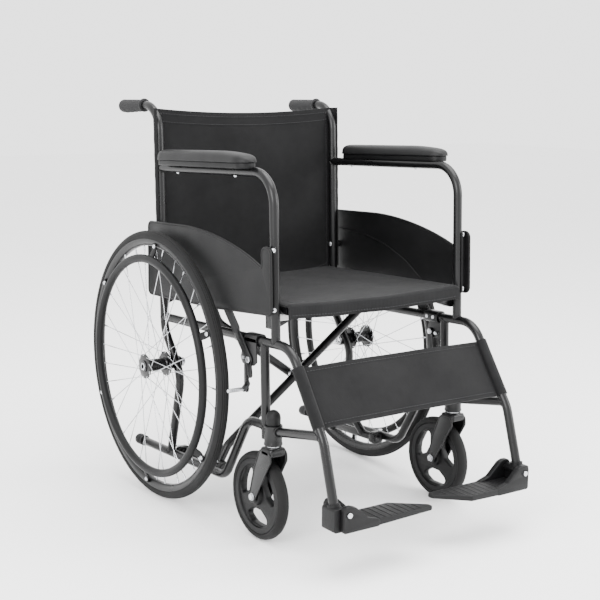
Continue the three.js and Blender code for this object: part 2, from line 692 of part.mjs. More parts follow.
// A moulded centre: rim, hub and broad spokes.
function casterWheel() {
  const half = CASTER.width / 2 - 2;
  const inner = casterRimRadius - CASTER_WHEEL.rim;
  const rimProfile = [
    [inner, -half],
    [casterRimRadius, -half],
    [casterRimRadius, half],
    [inner, half],
  ];
  const rim = turned("x", rimProfile, CASTER_WHEEL.segments);
  const hubHalf = CASTER_WHEEL.hubWidth / 2;
  const hub = pin("x", -hubHalf, hubHalf, CASTER_WHEEL.hub, vec(0, 0, 0), 16);
  const bore = pin("x", -hubHalf - 1, hubHalf + 1, CASTER_BOLT.radius + RUNNING, vec(0, 0, 0));
  const spokes = [];
  for (let i = 0; i < CASTER_WHEEL.spokes; i++) {
    const arm = new THREE.BoxGeometry(CASTER_WHEEL.web, CASTER_WHEEL.spokeWidth, inner + 2);
    arm.translate(0, 0, (inner + 2) / 2).rotateX((2 * Math.PI * i) / CASTER_WHEEL.spokes);
    spokes.push(solid(arm));
  }
  return join(rim, hub, ...spokes).subtract(bore);
}

function forkCheek() {
  const { trail, radius } = CASTER;
  const shape = new THREE.Shape();
  shape.moveTo(-FORK.half, crownBottom + FORK.crown);
  shape.lineTo(-FORK.half, crownBottom);
  shape.lineTo(trail - FORK.eye, radius - 4);
  shape.absarc(trail, radius, FORK.eye, 1.08 * Math.PI, 2 * Math.PI);
  shape.lineTo(FORK.half + 4, crownBottom);
  shape.lineTo(FORK.half, crownBottom + FORK.crown);
  return shape;
}

// Stem, crown and two cheeks, pressed and welded as one piece.
function casterFork() {
  const axle = vec(0, CASTER.trail, CASTER.radius);
  const top = crownBottom + FORK.crown;
  const crown = block([-cheekOuter, cheekOuter], [-FORK.half, FORK.half], [crownBottom, top]);
  const stemTop = HOUSING.top - 4;
  const shoulder = HOUSING.bottom - GAP;
  const stemProfile = [
    [0, top - 1],
    [FORK.cone, top - 1],
    [FORK.cone, top],
    [HOUSING.radius, shoulder],
    [FORK.stem, shoulder],
    [FORK.stem, stemTop],
    [0, stemTop],
  ];
  const stem = turned("z", stemProfile, 16);
  const cheeks = [-1, 1].map((side) => sidePlate(forkCheek(), side * cheekInner, side * cheekOuter));
  const bore = pin("x", -2 * cheekOuter, 2 * cheekOuter, CASTER_BOLT.radius + RUNNING, axle);
  return join(crown, stem, ...cheeks).subtract(bore);
}

function casterAxle() {
  const end = cheekOuter + GAP;
  const origin = vec(0, 0, 0);
  const tip = end + CASTER_BOLT.headLength;
  const shaft = pin("x", -tip, tip, CASTER_BOLT.radius, origin);
  const heads = [-1, 1].map((side) => pin("x", side * end, side * tip, CASTER_BOLT.head, origin, 6));
  return join(shaft, ...heads);
}

// ---------------------------------------------------------------- Footplates

// The right-hand plate about its hinge, reaching inboard along +X. The left one is the
// same moulding turned half round.
function footplate() {
  const half = FOOT.depth / 2;
  const [low, high] = [-FOOT_SLAB.top - FOOT_SLAB.thickness, -FOOT_SLAB.top];
  const plan = outline([
    [CLAMP.half - (FRAME_X - FOOT.hingeX) + GAP, -half],
    [FOOT.reach, -half],
    [FOOT.reach, half - FOOT_SLAB.cutY],
    [FOOT.reach - FOOT_SLAB.cutX, half],
    [CLAMP.half - (FRAME_X - FOOT.hingeX) + GAP, half],
  ]);
  const slab = new THREE.ExtrudeGeometry(plan, { depth: FOOT_SLAB.thickness, bevelEnabled: false });
  const side = outline([
    [-FOOT_LUG.back, low],
    [FOOT_LUG.ribEnd, low],
    [FOOT.reach + 1, high - FOOT_SLAB.tip],
    [FOOT.reach + 1, high + 1],
    [-FOOT_LUG.back, high + 1],
  ]);
  const wedge = frontPlate(side, -half - 1, half + 1);
  const lug = outline([
    [-FOOT_LUG.back, low],
    [FOOT_LUG.ribEnd, low],
    [FOOT_LUG.ribEnd, high],
    [FOOT_LUG.radius, FOOT_LUG.radius - 2],
    [FOOT_LUG.radius / 3, FOOT_LUG.radius],
    [-FOOT_LUG.radius / 2, FOOT_LUG.radius],
    [-FOOT_LUG.back, FOOT_LUG.radius / 2],
  ]);
  const front = frontPlate(lug, -half, -half + FOOT_LUG.thickness);
  const rear = frontPlate(lug, half - FOOT_LUG.thickness, half);
  const bore = pin("y", -FOOT.depth, FOOT.depth, FOOT_LUG.pin + RUNNING, vec(0, 0, 0));
  return join(solid(slab.translate(0, 0, low)).intersect(wedge), front, rear).subtract(bore);
}

// The block and collar on the end of the leg tube, about the same hinge, for one side.
function footplateClamp(sign, hinge) {
  const outboard = sign * (FRAME_X - FOOT.hingeX);
  const half = FOOT.depth / 2 - FOOT_LUG.thickness - GAP;
  const faces = [outboard - CLAMP.half, outboard + CLAMP.half];
  const body = block(faces, [-half, half], [-CLAMP.bottom, CLAMP.above]);
  const [shin, foot] = planePoints(sign * FRAME_X, topRailLine.slice(2)).map((place) =>
    place.applyMatrix4(TO_FLOOR).sub(hinge),
  );
  const along = foot.clone().sub(shin).normalize();
  const legTube = (extra, from) => {
    const start = foot.clone().addScaledVector(along, -from);
    return bar([start, foot.clone().addScaledVector(along, GAP)], TUBE + extra);
  };
  const stalk = pin("z", 0, foot.z + 2, CLAMP.half - 1, vec(outboard, foot.y, 0));
  const lift = legTube(CLAMP.half - TUBE, CLAMP.collar).add(stalk);
  const bore = pin("y", -FOOT.depth, FOOT.depth, FOOT_LUG.pin + RUNNING, vec(0, 0, 0));
  return join(body, lift).subtract(legTube(GAP, 2 * CLAMP.collar)).subtract(bore);
}

function footplatePin() {
  const half = FOOT.depth / 2 + GAP;
  const head = FOOT_LUG.pin - 1.5;
  const origin = vec(0, 0, 0);
  const shaft = pin("y", -half - head, half + head, FOOT_LUG.pin, origin);
  const hex = FOOT_LUG.pin + 1.5;
  const ends = [-1, 1].map((side) => pin("y", side * half, side * (half + head), hex, origin, 6));
  return join(shaft, ...ends);
}

// ---------------------------------------------------------------- Cross brace and seat

// One brace: a pivot sleeve at the bottom of its own side, the bent strut, and the seat
// rail that it carries on the other side.
function brace(sign, y) {
  const low = LOWER_RAIL.z;
  const middle = BRACE.middleZ;
  const strutLine = [
    vec(sign * BRACE.x, y, low),
    vec(sign * BRACE.kneeX, y, middle - BRACE.kneeRise),
    vec(-sign * BRACE.kneeX, y, middle + BRACE.kneeRise),
    vec(-sign * BRACE.x, y, SEAT_RAIL.z),
  ];
  const strut = bar(strutLine, TUBE, BRACE.bend);
  const sleeveAt = vec(sign * BRACE.x, 0, low);
  const railAt = vec(-sign * BRACE.x, 0, SEAT_RAIL.z);
  const sleeve = pin("y", PIVOT.front, PIVOT.back, TUBE, sleeveAt, PIVOT.sides);
  const rail = pin("y", SEAT_RAIL.front, SEAT_RAIL.back, TUBE, railAt, PIVOT.sides);
  const bore = pin("y", y - 2 * TUBE, y + 2 * TUBE, CENTRE_BOLT.radius + RUNNING, vec(0, 0, middle));
  return join(strut, sleeve, rail).subtract(bore);
}

function centreBolt() {
  const front = BRACE.frontY - TUBE - GAP;
  const back = BRACE.backY + TUBE + GAP;
  const at = vec(0, 0, BRACE.middleZ);
  const { head, headLength, radius, washer } = CENTRE_BOLT;
  const between = [BRACE.frontY + TUBE + GAP, BRACE.backY - TUBE - GAP];
  return join(
    pin("y", front - headLength, back + headLength, radius, at),
    pin("y", front - headLength, front, head, at, 6),
    pin("y", back, back + headLength, head, at, 6),
    pin("y", ...between, head + washer, at, 12),
  );
}

function seatSling() {
  const half = BRACE.x + TUBE;
  const bottom = SEAT_RAIL.z + TUBE + SEAT.above;
  return block([-half, half], [SEAT.front, SEAT.back], [bottom, bottom + SEAT.thickness]);
}

function backSling() {
  const half = FRAME_X - TUBE - BACK.clear;
  const middle = CANE.y + BACK.behind;
  const depth = [middle - BACK.thickness / 2, middle + BACK.thickness / 2];
  return block([-half, half], depth, [BACK.bottom, BACK.top]);
}

function calfStrap() {
  const half = FRAME_X - TUBE - BACK.clear;
  const slope = (TOP_RAIL.shinY - TOP_RAIL.kneeY) / (TOP_RAIL.shinZ - TOP_RAIL.z);
  const place = (z) => TOP_RAIL.kneeY + slope * (z - TOP_RAIL.z);
  const [topY, lowY] = [place(CALF.startZ), place(CALF.endZ)];
  const strap = outline([
    [topY, CALF.startZ],
    [lowY, CALF.endZ],
    [lowY - CALF.thickness, CALF.endZ + CALF.thickness * slope],
    [topY - CALF.thickness, CALF.startZ + CALF.thickness * slope],
  ]);
  return sidePlate(strap, -half, half);
}

// ---------------------------------------------------------------- Building both sides

const FRAME_PIECES = [
  ["back_cane", backCane, POWDER_COAT],
  ["arm_tube", armTube, POWDER_COAT],
  ["top_rail", topRail, POWDER_COAT],
  ["lower_rail", lowerRail, POWDER_COAT],
  ["front_post", frontPost, POWDER_COAT],
  ["push_grip", pushGrip, RUBBER],
  ["arm_pad", armPad, MOULDED],
  ["skirt_guard", skirtGuard, MOULDED],
  ["tip_cap", tipCap, RUBBER],
  ["seat_guide_front", frontGuide, NYLON],
  ["seat_guide_rear", rearGuide, NYLON],
  ["brake_bracket", brakeBracket, POWDER_COAT],
  ["brake_lever", brakeLever, POWDER_COAT],
  ["brake_shoe", brakeShoe, STEEL],
];

function addRearWheel(side, sign) {
  const wheel = new THREE.Group();
  wheel.position.set(sign * WHEEL.x, 0, WHEEL.radius);
  addPiece(wheel, `${side}_tyre`, tyre(), RUBBER);
  addPiece(wheel, `${side}_wheel_rim`, wheelRim(), POWDER_COAT);
  addPiece(wheel, `${side}_hub_spokes`, hubSpokes(sign), STEEL);
  addPiece(wheel, `${side}_hand_rim`, handRim(sign), MOULDED);
  assembly.add(wheel);
  const axle = new THREE.Group();
  axle.position.z = WHEEL.radius;
  addPiece(axle, `${side}_wheel_axle`, wheelAxle(sign), STEEL);
  assembly.add(axle);
}

function addCaster(side, sign) {
  const swivel = new THREE.Group();
  swivel.position.set(sign * CASTER.x, CASTER.swivelY, 0);
  addPiece(swivel, `${side}_caster_fork`, casterFork(), POWDER_COAT);
  const cap = new THREE.Group();
  cap.position.z = HOUSING.top + GAP;
  addPiece(cap, `${side}_caster_cap`, casterCap(), MOULDED);
  const wheel = new THREE.Group();
  wheel.position.set(0, CASTER.trail, CASTER.radius);
  addPiece(wheel, `${side}_caster_wheel`, casterWheel(), MOULDED);
  addPiece(wheel, `${side}_caster_tyre`, casterTyre(), RUBBER);
  addPiece(wheel, `${side}_caster_axle`, casterAxle(), STEEL);
  swivel.add(cap, wheel);
  assembly.add(swivel);
}

function addFootplate(side, sign) {
  const hinge = vec(sign * FOOT.hingeX, FOOT.y, FOOT.hingeZ);
  const plate = new THREE.Group();
  plate.position.copy(hinge);
  plate.rotation.z = sign > 0 ? Math.PI : 0;
  addPiece(plate, `${side}_footplate`, footplate(), MOULDED);
  const fixed = new THREE.Group();
  fixed.position.copy(hinge);
  addPiece(fixed, `${side}_footplate_clamp`, footplateClamp(sign, hinge), MOULDED);
  addPiece(fixed, `${side}_footplate_pin`, footplatePin(), STEEL);
  assembly.add(plate, fixed);
}

for (const [side, sign] of [["right", -1], ["left", 1]]) {
  for (const [name, make, material] of FRAME_PIECES) {
    addPiece(leaning, `${side}_${name}`, make(sign), material);
  }
  addRearWheel(side, sign);
  addCaster(side, sign);
  addFootplate(side, sign);
}

addPiece(leaning, "brace_a", brace(-1, BRACE.frontY), POWDER_COAT);
addPiece(leaning, "brace_b", brace(1, BRACE.backY), POWDER_COAT);
addPiece(leaning, "brace_pivot_bolt", centreBolt(), STEEL);
addPiece(leaning, "seat_sling", seatSling(), CLOTH);
addPiece(leaning, "back_sling", backSling(), CLOTH);
addPiece(leaning, "calf_strap", calfStrap(), CLOTH);

// The origin is on the floor under the middle of the whole chair.
const bounds = new THREE.Box3().setFromObject(chair);
assembly.position.y = -(bounds.min.y + bounds.max.y) / 2;

export default chair;
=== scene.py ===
"""A folding manual wheelchair in black powder coat, with black nylon upholstery.

Metres. The floor is z = 0, the occupant faces -Y, and their right-hand side is -X.
"""

import math

import bpy
from mathutils import Matrix, Vector


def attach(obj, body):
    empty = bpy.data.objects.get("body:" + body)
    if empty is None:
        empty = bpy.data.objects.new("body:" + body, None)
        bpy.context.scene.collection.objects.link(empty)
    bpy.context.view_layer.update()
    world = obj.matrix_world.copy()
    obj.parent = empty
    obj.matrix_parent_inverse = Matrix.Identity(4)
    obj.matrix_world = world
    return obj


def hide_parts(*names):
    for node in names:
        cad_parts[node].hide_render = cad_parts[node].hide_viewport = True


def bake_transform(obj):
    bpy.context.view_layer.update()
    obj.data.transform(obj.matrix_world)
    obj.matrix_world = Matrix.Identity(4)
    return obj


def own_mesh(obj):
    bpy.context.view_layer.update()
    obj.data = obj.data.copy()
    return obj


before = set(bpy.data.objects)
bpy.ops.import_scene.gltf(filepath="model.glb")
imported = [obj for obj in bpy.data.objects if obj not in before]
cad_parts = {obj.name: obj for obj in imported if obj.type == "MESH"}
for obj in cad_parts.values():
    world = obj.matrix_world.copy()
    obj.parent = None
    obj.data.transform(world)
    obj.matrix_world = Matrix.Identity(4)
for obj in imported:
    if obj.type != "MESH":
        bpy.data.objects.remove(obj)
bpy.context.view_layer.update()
bpy.ops.object.select_all(action="DESELECT")

# ------------------------------------------------------------------ sizes

AXLE_Y, AXLE_Z = 0.1734, 0.3
LEAN = math.radians(2.2)
# Frame sizes are measured from the rear axle, in the side frames' own leaning directions.
LEANING = Matrix.Translation((0, AXLE_Y, AXLE_Z)) @ Matrix.Rotation(-LEAN, 4, "X")
STANDING = Matrix.Translation((0, AXLE_Y, 0))

TUBE = 0.0095
SIDE = -0.2385  # centre plane of the right-hand side frame
WHEEL_X = -0.285
CASTER_X = -0.240
CASTER_Y = -0.405
BRACE_X = 0.213
POST_Y = -0.414
SEAT_RAIL_Z, PIVOT_Z = 0.166, -0.213
BRACE_LAYERS = {"brace_a": (-1, -0.139), "brace_b": (1, -0.111)}

CANE = [(0.202, 0.574), (0.038, 0.574), (0.038, 0.072), (-0.031, -0.028), (0.024, -0.2135)]
ARM = [(0.038, 0.436), (-0.414, 0.436), (-0.414, 0.1)]
TOP_RAIL = [(0.038, 0.1), (-0.466, 0.1), (-0.571, -0.066), (-0.6015, -0.183)]
LOWER_RAIL = [(0.175, -0.213), (-0.214, -0.213), (-0.308, -0.072), (-0.374, -0.072)]
SHIN = [Vector((SIDE, y, z)) for y, z in TOP_RAIL[1:3]]

# ------------------------------------------------------------------ modelling helpers


def select_only(*objects):
    bpy.ops.object.select_all(action="DESELECT")
    for each in objects:
        each.select_set(True)
    bpy.context.view_layer.objects.active = objects[0]


def tidy_shell(obj, gap=2e-6):
    """Merges doubled points and turns every face outwards."""
    select_only(obj)
    bpy.ops.object.mode_set(mode="EDIT")
    bpy.ops.mesh.select_all(action="SELECT")
    bpy.ops.mesh.remove_doubles(threshold=gap)
    bpy.ops.mesh.normals_make_consistent(inside=False)
    bpy.ops.object.mode_set(mode="OBJECT")
    return obj


def smooth(obj, angle=35):
    select_only(obj)
    bpy.ops.object.shade_smooth_by_angle(angle=math.radians(angle))
    return obj


def apply(obj, kind, **values):
    select_only(obj)
    modifier = obj.modifiers.new(kind.title(), kind)
    for key, value in values.items():
        setattr(modifier, key, value)
    bpy.ops.object.modifier_apply(modifier=modifier.name)
    return obj


def soften(obj, width=0.0008, segments=2, angle=35):
    """A small round on every sharp edge, then smooth shading."""
    limit = math.radians(angle)
    apply(obj, "BEVEL", width=width, segments=segments, limit_method="ANGLE", angle_limit=limit)
    return smooth(obj)


def join(name, *objects):
    select_only(*objects)
    bpy.ops.object.join()
    objects[0].name = name
    return objects[0]


def rounded(corners, radius, closed=False, step=math.radians(9)):
    """Corner points joined by arcs."""
    corners = [Vector((*corner, 0)) if len(corner) == 2 else Vector(corner) for corner in corners]
    line = []
    for i, corner in enumerate(corners):
        before, after = corners[i - 1], corners[(i + 1) % len(corners)]
        into, out = (corner - before).normalized(), (after - corner).normalized()
        turn = into.angle(out)
        if turn < 0.01 or (not closed and i in (0, len(corners) - 1)):
            line.append(corner)
            continue
        room = 0.499 * min((corner - before).length, (after - corner).length)
        reach = min(radius * math.tan(turn / 2), room)
        bend = reach / math.tan(turn / 2)
        inward = (out - into * math.cos(turn)).normalized()
        steps = max(2, math.ceil(turn / step))
        for k in range(steps + 1):
            angle = turn * k / steps
            arc = into * bend * math.sin(angle) + inward * bend * (1 - math.cos(angle))
            line.append(corner - into * reach + arc)
    return line


def drawn(name, points, radius=0.0, closed=False, detail=6):
    """A line through points, or a round bar along them."""
    curve = bpy.data.curves.new(name, "CURVE")
    curve.dimensions = "3D"
    spline = curve.splines.new("POLY")
    spline.points.add(len(points) - 1)
    for knot, place in zip(spline.points, points):
        knot.co = (*place, 1)
    spline.use_cyclic_u = closed
    curve.bevel_depth = radius
    curve.bevel_resolution = detail
    curve.use_fill_caps = radius > 0 and not closed
    obj = bpy.data.objects.new(name, curve)
    bpy.context.collection.objects.link(obj)
    select_only(obj)
    bpy.ops.object.convert(target="MESH")
    return bpy.context.object


def tube(name, corners, bend, radius=TUBE, detail=7):
    return smooth(tidy_shell(drawn(name, rounded(corners, bend), radius, detail=detail)), 50)


def frame_tube(name, line, bend):
    return tube(name, [(SIDE, y, z) for y, z in line], bend)


AXES = {"x": Vector((1, 0, 0)), "y": Vector((0, 1, 0)), "z": Vector((0, 0, 1))}
SPOKES_OUT = {"x": Vector((0, 0, 1)), "y": Vector((0, 0, 1)), "z": Vector((1, 0, 0))}


def turned(name, profile, axis, centre, steps=48, closed=False, angle=30):
    """A profile of (radius, place along the axis) points spun once round the axis."""
    centre = Vector(centre)
    points = [centre + SPOKES_OUT[axis] * radius + AXES[axis] * along for radius, along in profile]
    obj = drawn(name, points, closed=closed)
    select_only(obj)
    bpy.ops.object.mode_set(mode="EDIT")
    bpy.ops.mesh.select_all(action="SELECT")
    bpy.ops.mesh.spin(steps=steps, angle=2 * math.pi, center=centre, axis=AXES[axis])
    bpy.ops.object.mode_set(mode="OBJECT")
    return smooth(tidy_shell(obj, 1e-5), angle)


def mirrored(half):
    """A profile and its reflection, joined where half ends on the middle."""
    return half + [(radius, -along) for radius, along in reversed(half[:-1])]


QUARTERS = {"x": (0, math.pi / 2, 0), "y": (math.pi / 2, 0, 0), "z": (0, 0, 0)}


def pin(name, axis, radius, start, end, at, sides=32, edge=0.0006):
    """A round or six-sided pin between two places on an axis, through a point."""
    middle = Vector(at)
    index = "xyz".index(axis)
    middle[index] = (start + end) / 2
    bpy.ops.mesh.primitive_cylinder_add(
        vertices=sides, radius=radius, depth=abs(
            end - start
        ), location=middle, rotation=QUARTERS[axis]
    )
    obj = bpy.context.object
    bpy.ops.object.transform_apply(location=True, rotation=True, scale=True)
    obj.name = name
    return soften(obj, edge)


def block(name, xs, ys, zs, edge=0.001):
    """A box between two corners, with its edges rounded."""
    centre = [(run[0] + run[1]) / 2 for run in (xs, ys, zs)]
    size = [abs(run[1] - run[0]) for run in (xs, ys, zs)]
    bpy.ops.mesh.primitive_cube_add(size=1, location=centre, scale=size)
    obj = bpy.context.object
    bpy.ops.object.transform_apply(location=True, rotation=True, scale=True)
    obj.name = name
    return soften(obj, edge, 3)


# Where an outline's two directions and its thickness lie in the chair.
PLANES = {
    "side": Matrix(((0, 0, 1, 0), (1, 0, 0, 0), (0, 1, 0, 0), (0, 0, 0, 1))),
    "front": Matrix(((1, 0, 0, 0), (0, 0, -1, 0), (0, 1, 0, 0), (0, 0, 0, 1))),
    "top": Matrix.Identity(4),
}
ACROSS = {"side": "x", "front": "y", "top": "z"}


def plate(name, outlines, thickness, plane, middle, edge=0.0007):
    """Closed outlines filled, with the inner ones as holes, thickened and edge-rounded."""
    curve = bpy.data.curves.new(name, "CURVE")
    curve.dimensions = "2D"
    curve.fill_mode = "BOTH"
    for outline in outlines:
        spline = curve.splines.new("POLY")
        spline.points.add(len(outline) - 1)
        for knot, place in zip(spline.points, outline):
            knot.co = (place[0], place[1], 0, 1)
        spline.use_cyclic_u = True
    curve.extrude = thickness / 2 - edge
    curve.bevel_depth = edge
    curve.bevel_resolution = 2
    curve.offset = -edge
    obj = bpy.data.objects.new(name, curve)
    bpy.context.collection.objects.link(obj)
    select_only(obj)
    bpy.ops.object.convert(target="MESH")
    obj = bpy.context.object
    obj.data.transform(Matrix.Translation(AXES[ACROSS[plane]] * middle) @ PLANES[plane])
    return smooth(tidy_shell(obj))


def bar_outline(start, end, width):
    """A flat bar with round ends between two points."""
    a, b = Vector((*start, 0)), Vector((*end, 0))
    along = (b - a).normalized()
    turn = math.atan2(along.y, along.x)
    half = width / 2
    points = []
    for centre, base in ((b, turn - math.pi / 2), (a, turn + math.pi / 2)):
        for k in range(13):
            angle = base + math.pi * k / 12
            points.append(centre + Vector((math.cos(angle), math.sin(angle), 0)) * half)
    return points


def circle(centre, radius, steps=40):
    turns = [2 * math.pi * k / steps for k in range(steps)]
    return [(centre[0] + radius * math.cos(t), centre[1] + radius * math.sin(t)) for t in turns]


def weld(name, meet, branch, main, radius=TUBE, host=TUBE, bead=0.0016):
    """The bead where a branch tube leaves its host tube."""
    branch, main = Vector(branch).normalized(), Vector(main).normalized()
    across = branch.cross(main).normalized()
    up = across.cross(branch)
    square = branch - main * branch.dot(main)
    line = []
    for k in range(48):
        angle = 2 * math.pi * k / 48
        spoke = (across * math.cos(angle) + up * math.sin(angle)) * radius
        flat = spoke - main * spoke.dot(main)
        middle = flat.dot(square)
        under = middle**2 - square.length_squared * (flat.length_squared - host**2)
        reach = (-middle + math.sqrt(max(under, 0))) / square.length_squared
        ripple = 0.0003 * math.sin(angle * 16)
        line.append(Vector(meet) + spoke * 1.01 + branch * (reach + ripple))
    return smooth(drawn(name, line, bead, closed=True, detail=2), 60)


# ------------------------------------------------------------------ handing pieces over


def settle(obj, name, body, finish, replaces=(), place=LEANING):
    """Gives a piece its finish and place, and lets it move with its body."""
    obj.name = name
    obj.data.name = name
    obj.data.materials.clear()
    obj.data.materials.append(finish)
    obj.data.transform(place)
    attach(obj, body)
    if replaces:
        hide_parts(*replaces)
    return obj


MIRROR = Matrix.Scale(-1, 4, (1, 0, 0))


def settle_pair(obj, name, body, finish, replaces=(), place=LEANING):
    """The right-hand piece as modelled, and its mirror image on the left."""
    twin = obj.copy()
    twin.data = obj.data.copy()
    bpy.context.collection.objects.link(twin)
    twin.data.transform(MIRROR)
    twin.data.flip_normals()
    pair = []
    for side, each in (("right", obj), ("left", twin)):
        stands_for = [f"{side}_{node}" for node in replaces]
        pair.append(settle(each, f"{side}_{name}", f"{side}_{body}", finish, stands_for, place))
    return pair


# ------------------------------------------------------------------ finishes


def node_group(name, inputs, outputs):
    group = bpy.data.node_groups.new(name, "ShaderNodeTree")
    for label, kind, value in inputs:
        socket = group.interface.new_socket(label, in_out="INPUT", socket_type=f"NodeSocket{kind}")
        if kind == "Float":
            socket.default_value = value
    for label in outputs:
        group.interface.new_socket(label, in_out="OUTPUT", socket_type="NodeSocketFloat")
    return group, group.nodes.new("NodeGroupInput"), group.nodes.new("NodeGroupOutput")


def add_node(tree, kind, values=None, inputs=None):
    node = tree.nodes.new(f"ShaderNode{kind}")
    for key, value in (values or {}).items():
        setattr(node, key, value)
    for key, value in (inputs or {}).items():
        if isinstance(value, bpy.types.NodeSocket):
            tree.links.new(value, node.inputs[key])
        else:
            node.inputs[key].default_value = value
    return node


def math_node(tree, operation, a, b=0.0, clamp=False):
    values = {"operation": operation, "use_clamp": clamp}
    return add_node(tree, "Math", values, {0: a, 1: b}).outputs[0]


def grain_group():
    """Fine pitting over soft unevenness, as height."""
    inputs = [("Vector", "Vector", None), ("Scale", "Float", 900.0), ("Unevenness", "Float", 0.3)]
    group, given, out = node_group("surface_grain", inputs, ["Height"])
    place, scale = given.outputs["Vector"], given.outputs["Scale"]
    fine = add_node(group, "TexNoise", None, {"Vector": place, "Scale": scale, "Detail": 3.0})
    slow = math_node(group, "MULTIPLY", scale, 0.12)
    soft = add_node(group, "TexNoise", None, {"Vector": place, "Scale": slow, "Detail": 2.0})
    swell = math_node(group, "MULTIPLY", soft.outputs[0], given.outputs["Unevenness"])
    group.links.new(math_node(group, "ADD", fine.outputs[0], swell), out.inputs["Height"])
    return group


def marks_group():
    """Handling marks: soft rubbed patches crossed by thin scratches."""
    inputs = [("Vector", "Vector", None), ("Amount", "Float", 0.5)]
    group, given, out = node_group("handling_marks", inputs, ["Mask", "Patch"])
    place = given.outputs["Vector"]
    patch = add_node(group, "TexNoise", None, {"Vector": place, "Scale": 14.0, "Detail": 5.0})
    patch_range = {"Value": patch.outputs[0], "From Min": 0.42, "From Max": 0.72}
    rubbed = add_node(group, "MapRange", None, patch_range).outputs[0]
    stretch = add_node(group, "Mapping", None, {"Vector": place, "Rotation": (0.6, 0.3, 0.9)})
    stretch.inputs["Scale"].default_value = (900.0, 40.0, 40.0)
    thin = {"Vector": stretch.outputs[0], "Scale": 1.0, "Detail": 1.0}
    lines = add_node(group, "TexNoise", None, thin)
    line_range = {"Value": lines.outputs[0], "From Min": 0.68, "From Max": 0.74}
    scratch = add_node(group, "MapRange", None, line_range).outputs[0]
    both = math_node(group, "MULTIPLY", scratch, rubbed)
    group.links.new(
        math_node(group, "MULTIPLY", both, given.outputs["Amount"]), out.inputs["Mask"]
    )
    group.links.new(patch.outputs[0], out.inputs["Patch"])
    return group


def weave_group():
    """A plain weave over two directions of the cloth."""
    inputs = [("Vector", "Vector", None), ("Pitch", "Float", 0.0016)]
    group, given, out = node_group("plain_weave", inputs, ["Height", "Tone"])
    split = add_node(group, "SeparateXYZ", None, {0: given.outputs["Vector"]})
    turn = math_node(group, "DIVIDE", math.pi, given.outputs["Pitch"])
    threads = []
    for socket in ("X", "Y"):
        wave = math_node(group, "SINE", math_node(group, "MULTIPLY", split.outputs[socket], turn))
        threads.append(wave)
    over = math_node(group, "MULTIPLY", threads[0], threads[1])
    ribs = [math_node(group, "ABSOLUTE", thread) for thread in threads]
    body = math_node(group, "MULTIPLY", ribs[0], ribs[1])
    height = math_node(group, "ADD", body, math_node(group, "MULTIPLY", over, 0.35))
    group.links.new(height, out.inputs["Height"])
    slub_place = {"Vector": given.outputs["Vector"], "Scale": 60.0, "Detail": 4.0}
    slub = add_node(group, "TexNoise", None, slub_place)
    tone = math_node(group, "ADD", math_node(group, "MULTIPLY", over, 0.25), slub.outputs[0])
    group.links.new(tone, out.inputs["Tone"])
    return group


GRAIN, MARKS, WEAVE = grain_group(), marks_group(), weave_group()


def place_group(tree, group, inputs):
    node = tree.nodes.new("ShaderNodeGroup")
    node.node_tree = group
    for key, value in inputs.items():
        if isinstance(value, bpy.types.NodeSocket):
            tree.links.new(value, node.inputs[key])
        else:
            node.inputs[key].default_value = value
    return node


def start_finish(name, **constants):
    finish = bpy.data.materials.new(name)
    finish.use_nodes = True
    tree = finish.node_tree
    shader = tree.nodes["Principled BSDF"]
    for key, value in constants.items():
        shader.inputs[key.replace("_", " ")].default_value = value
    return finish, tree, shader


def colour_between(tree, shader, share, dark, light):
    mix = add_node(tree, "Mix", {"data_type": "RGBA"})
    tree.links.new(share, mix.inputs[0])
    mix.inputs[6].default_value = (*dark, 1)
    mix.inputs[7].default_value = (*light, 1)
    tree.links.new(mix.outputs[2], shader.inputs["Base Color"])
    return mix


def bump(tree, shader, height, distance, strength=1.0):
    inputs = {"Height": height, "Distance": distance, "Strength": strength}
    node = add_node(tree, "Bump", None, inputs)
    tree.links.new(node.outputs[0], shader.inputs["Normal"])


def hard_finish(name, dark, light, rough, grain, depth, marks=0.5, metallic=0.0, **constants):
    """Paint, moulding, rubber or metal: grain in relief, patches of tone and light scratches."""
    finish, tree, shader = start_finish(name, Metallic=metallic, **constants)
    place = add_node(tree, "TexCoord").outputs["Object"]
    grain_node = place_group(tree, GRAIN, {"Vector": place, "Scale": grain})
    worn = place_group(tree, MARKS, {"Vector": place, "Amount": marks})
    share = math_node(
        tree, "ADD", worn.outputs["Mask"], math_node(tree, "MULTIPLY", worn.outputs["Patch"], 0.5)
    )
    colour_between(tree, shader, share, dark, light)
    spread = {"Value": worn.outputs["Patch"], "To Min": rough[0], "To Max": rough[1]}
    spread.update({"From Min": 0.3, "From Max": 0.7})
    tree.links.new(add_node(tree, "MapRange", None, spread).outputs[0], shader.inputs["Roughness"])
    bump(tree, shader, grain_node.outputs["Height"], depth)
    return finish


def cloth_finish(name, dark, light, pitch, turn, depth=0.0004):
    """Woven nylon. turn lays the weave's two directions in the plane of the cloth."""
    finish, tree, shader = start_finish(name, Sheen_Weight=0.05, Sheen_Roughness=0.4)
    shader.inputs["Specular IOR Level"].default_value = 0.15
    place = add_node(tree, "TexCoord").outputs["Object"]
    flat = add_node(tree, "Mapping", None, {"Vector": place, "Rotation": turn}).outputs[0]
    weave = place_group(tree, WEAVE, {"Vector": flat, "Pitch": pitch})
    colour_between(tree, shader, weave.outputs["Tone"], dark, light)
    creases = add_node(tree, "TexNoise", None, {"Vector": place, "Scale": 9.0, "Detail": 3.0})
    spread = {
        "Value": creases.outputs[0], "From Min": 0.3, "From Max": 0.7, "To Min": 0.62,
        "To Max": 0.8
    }
    tree.links.new(add_node(tree, "MapRange", None, spread).outputs[0], shader.inputs["Roughness"])
    swell = math_node(tree, "MULTIPLY", creases.outputs[0], 3.0)
    height = math_node(tree, "ADD", weave.outputs["Height"], swell)
    bump(tree, shader, height, depth)
    return finish


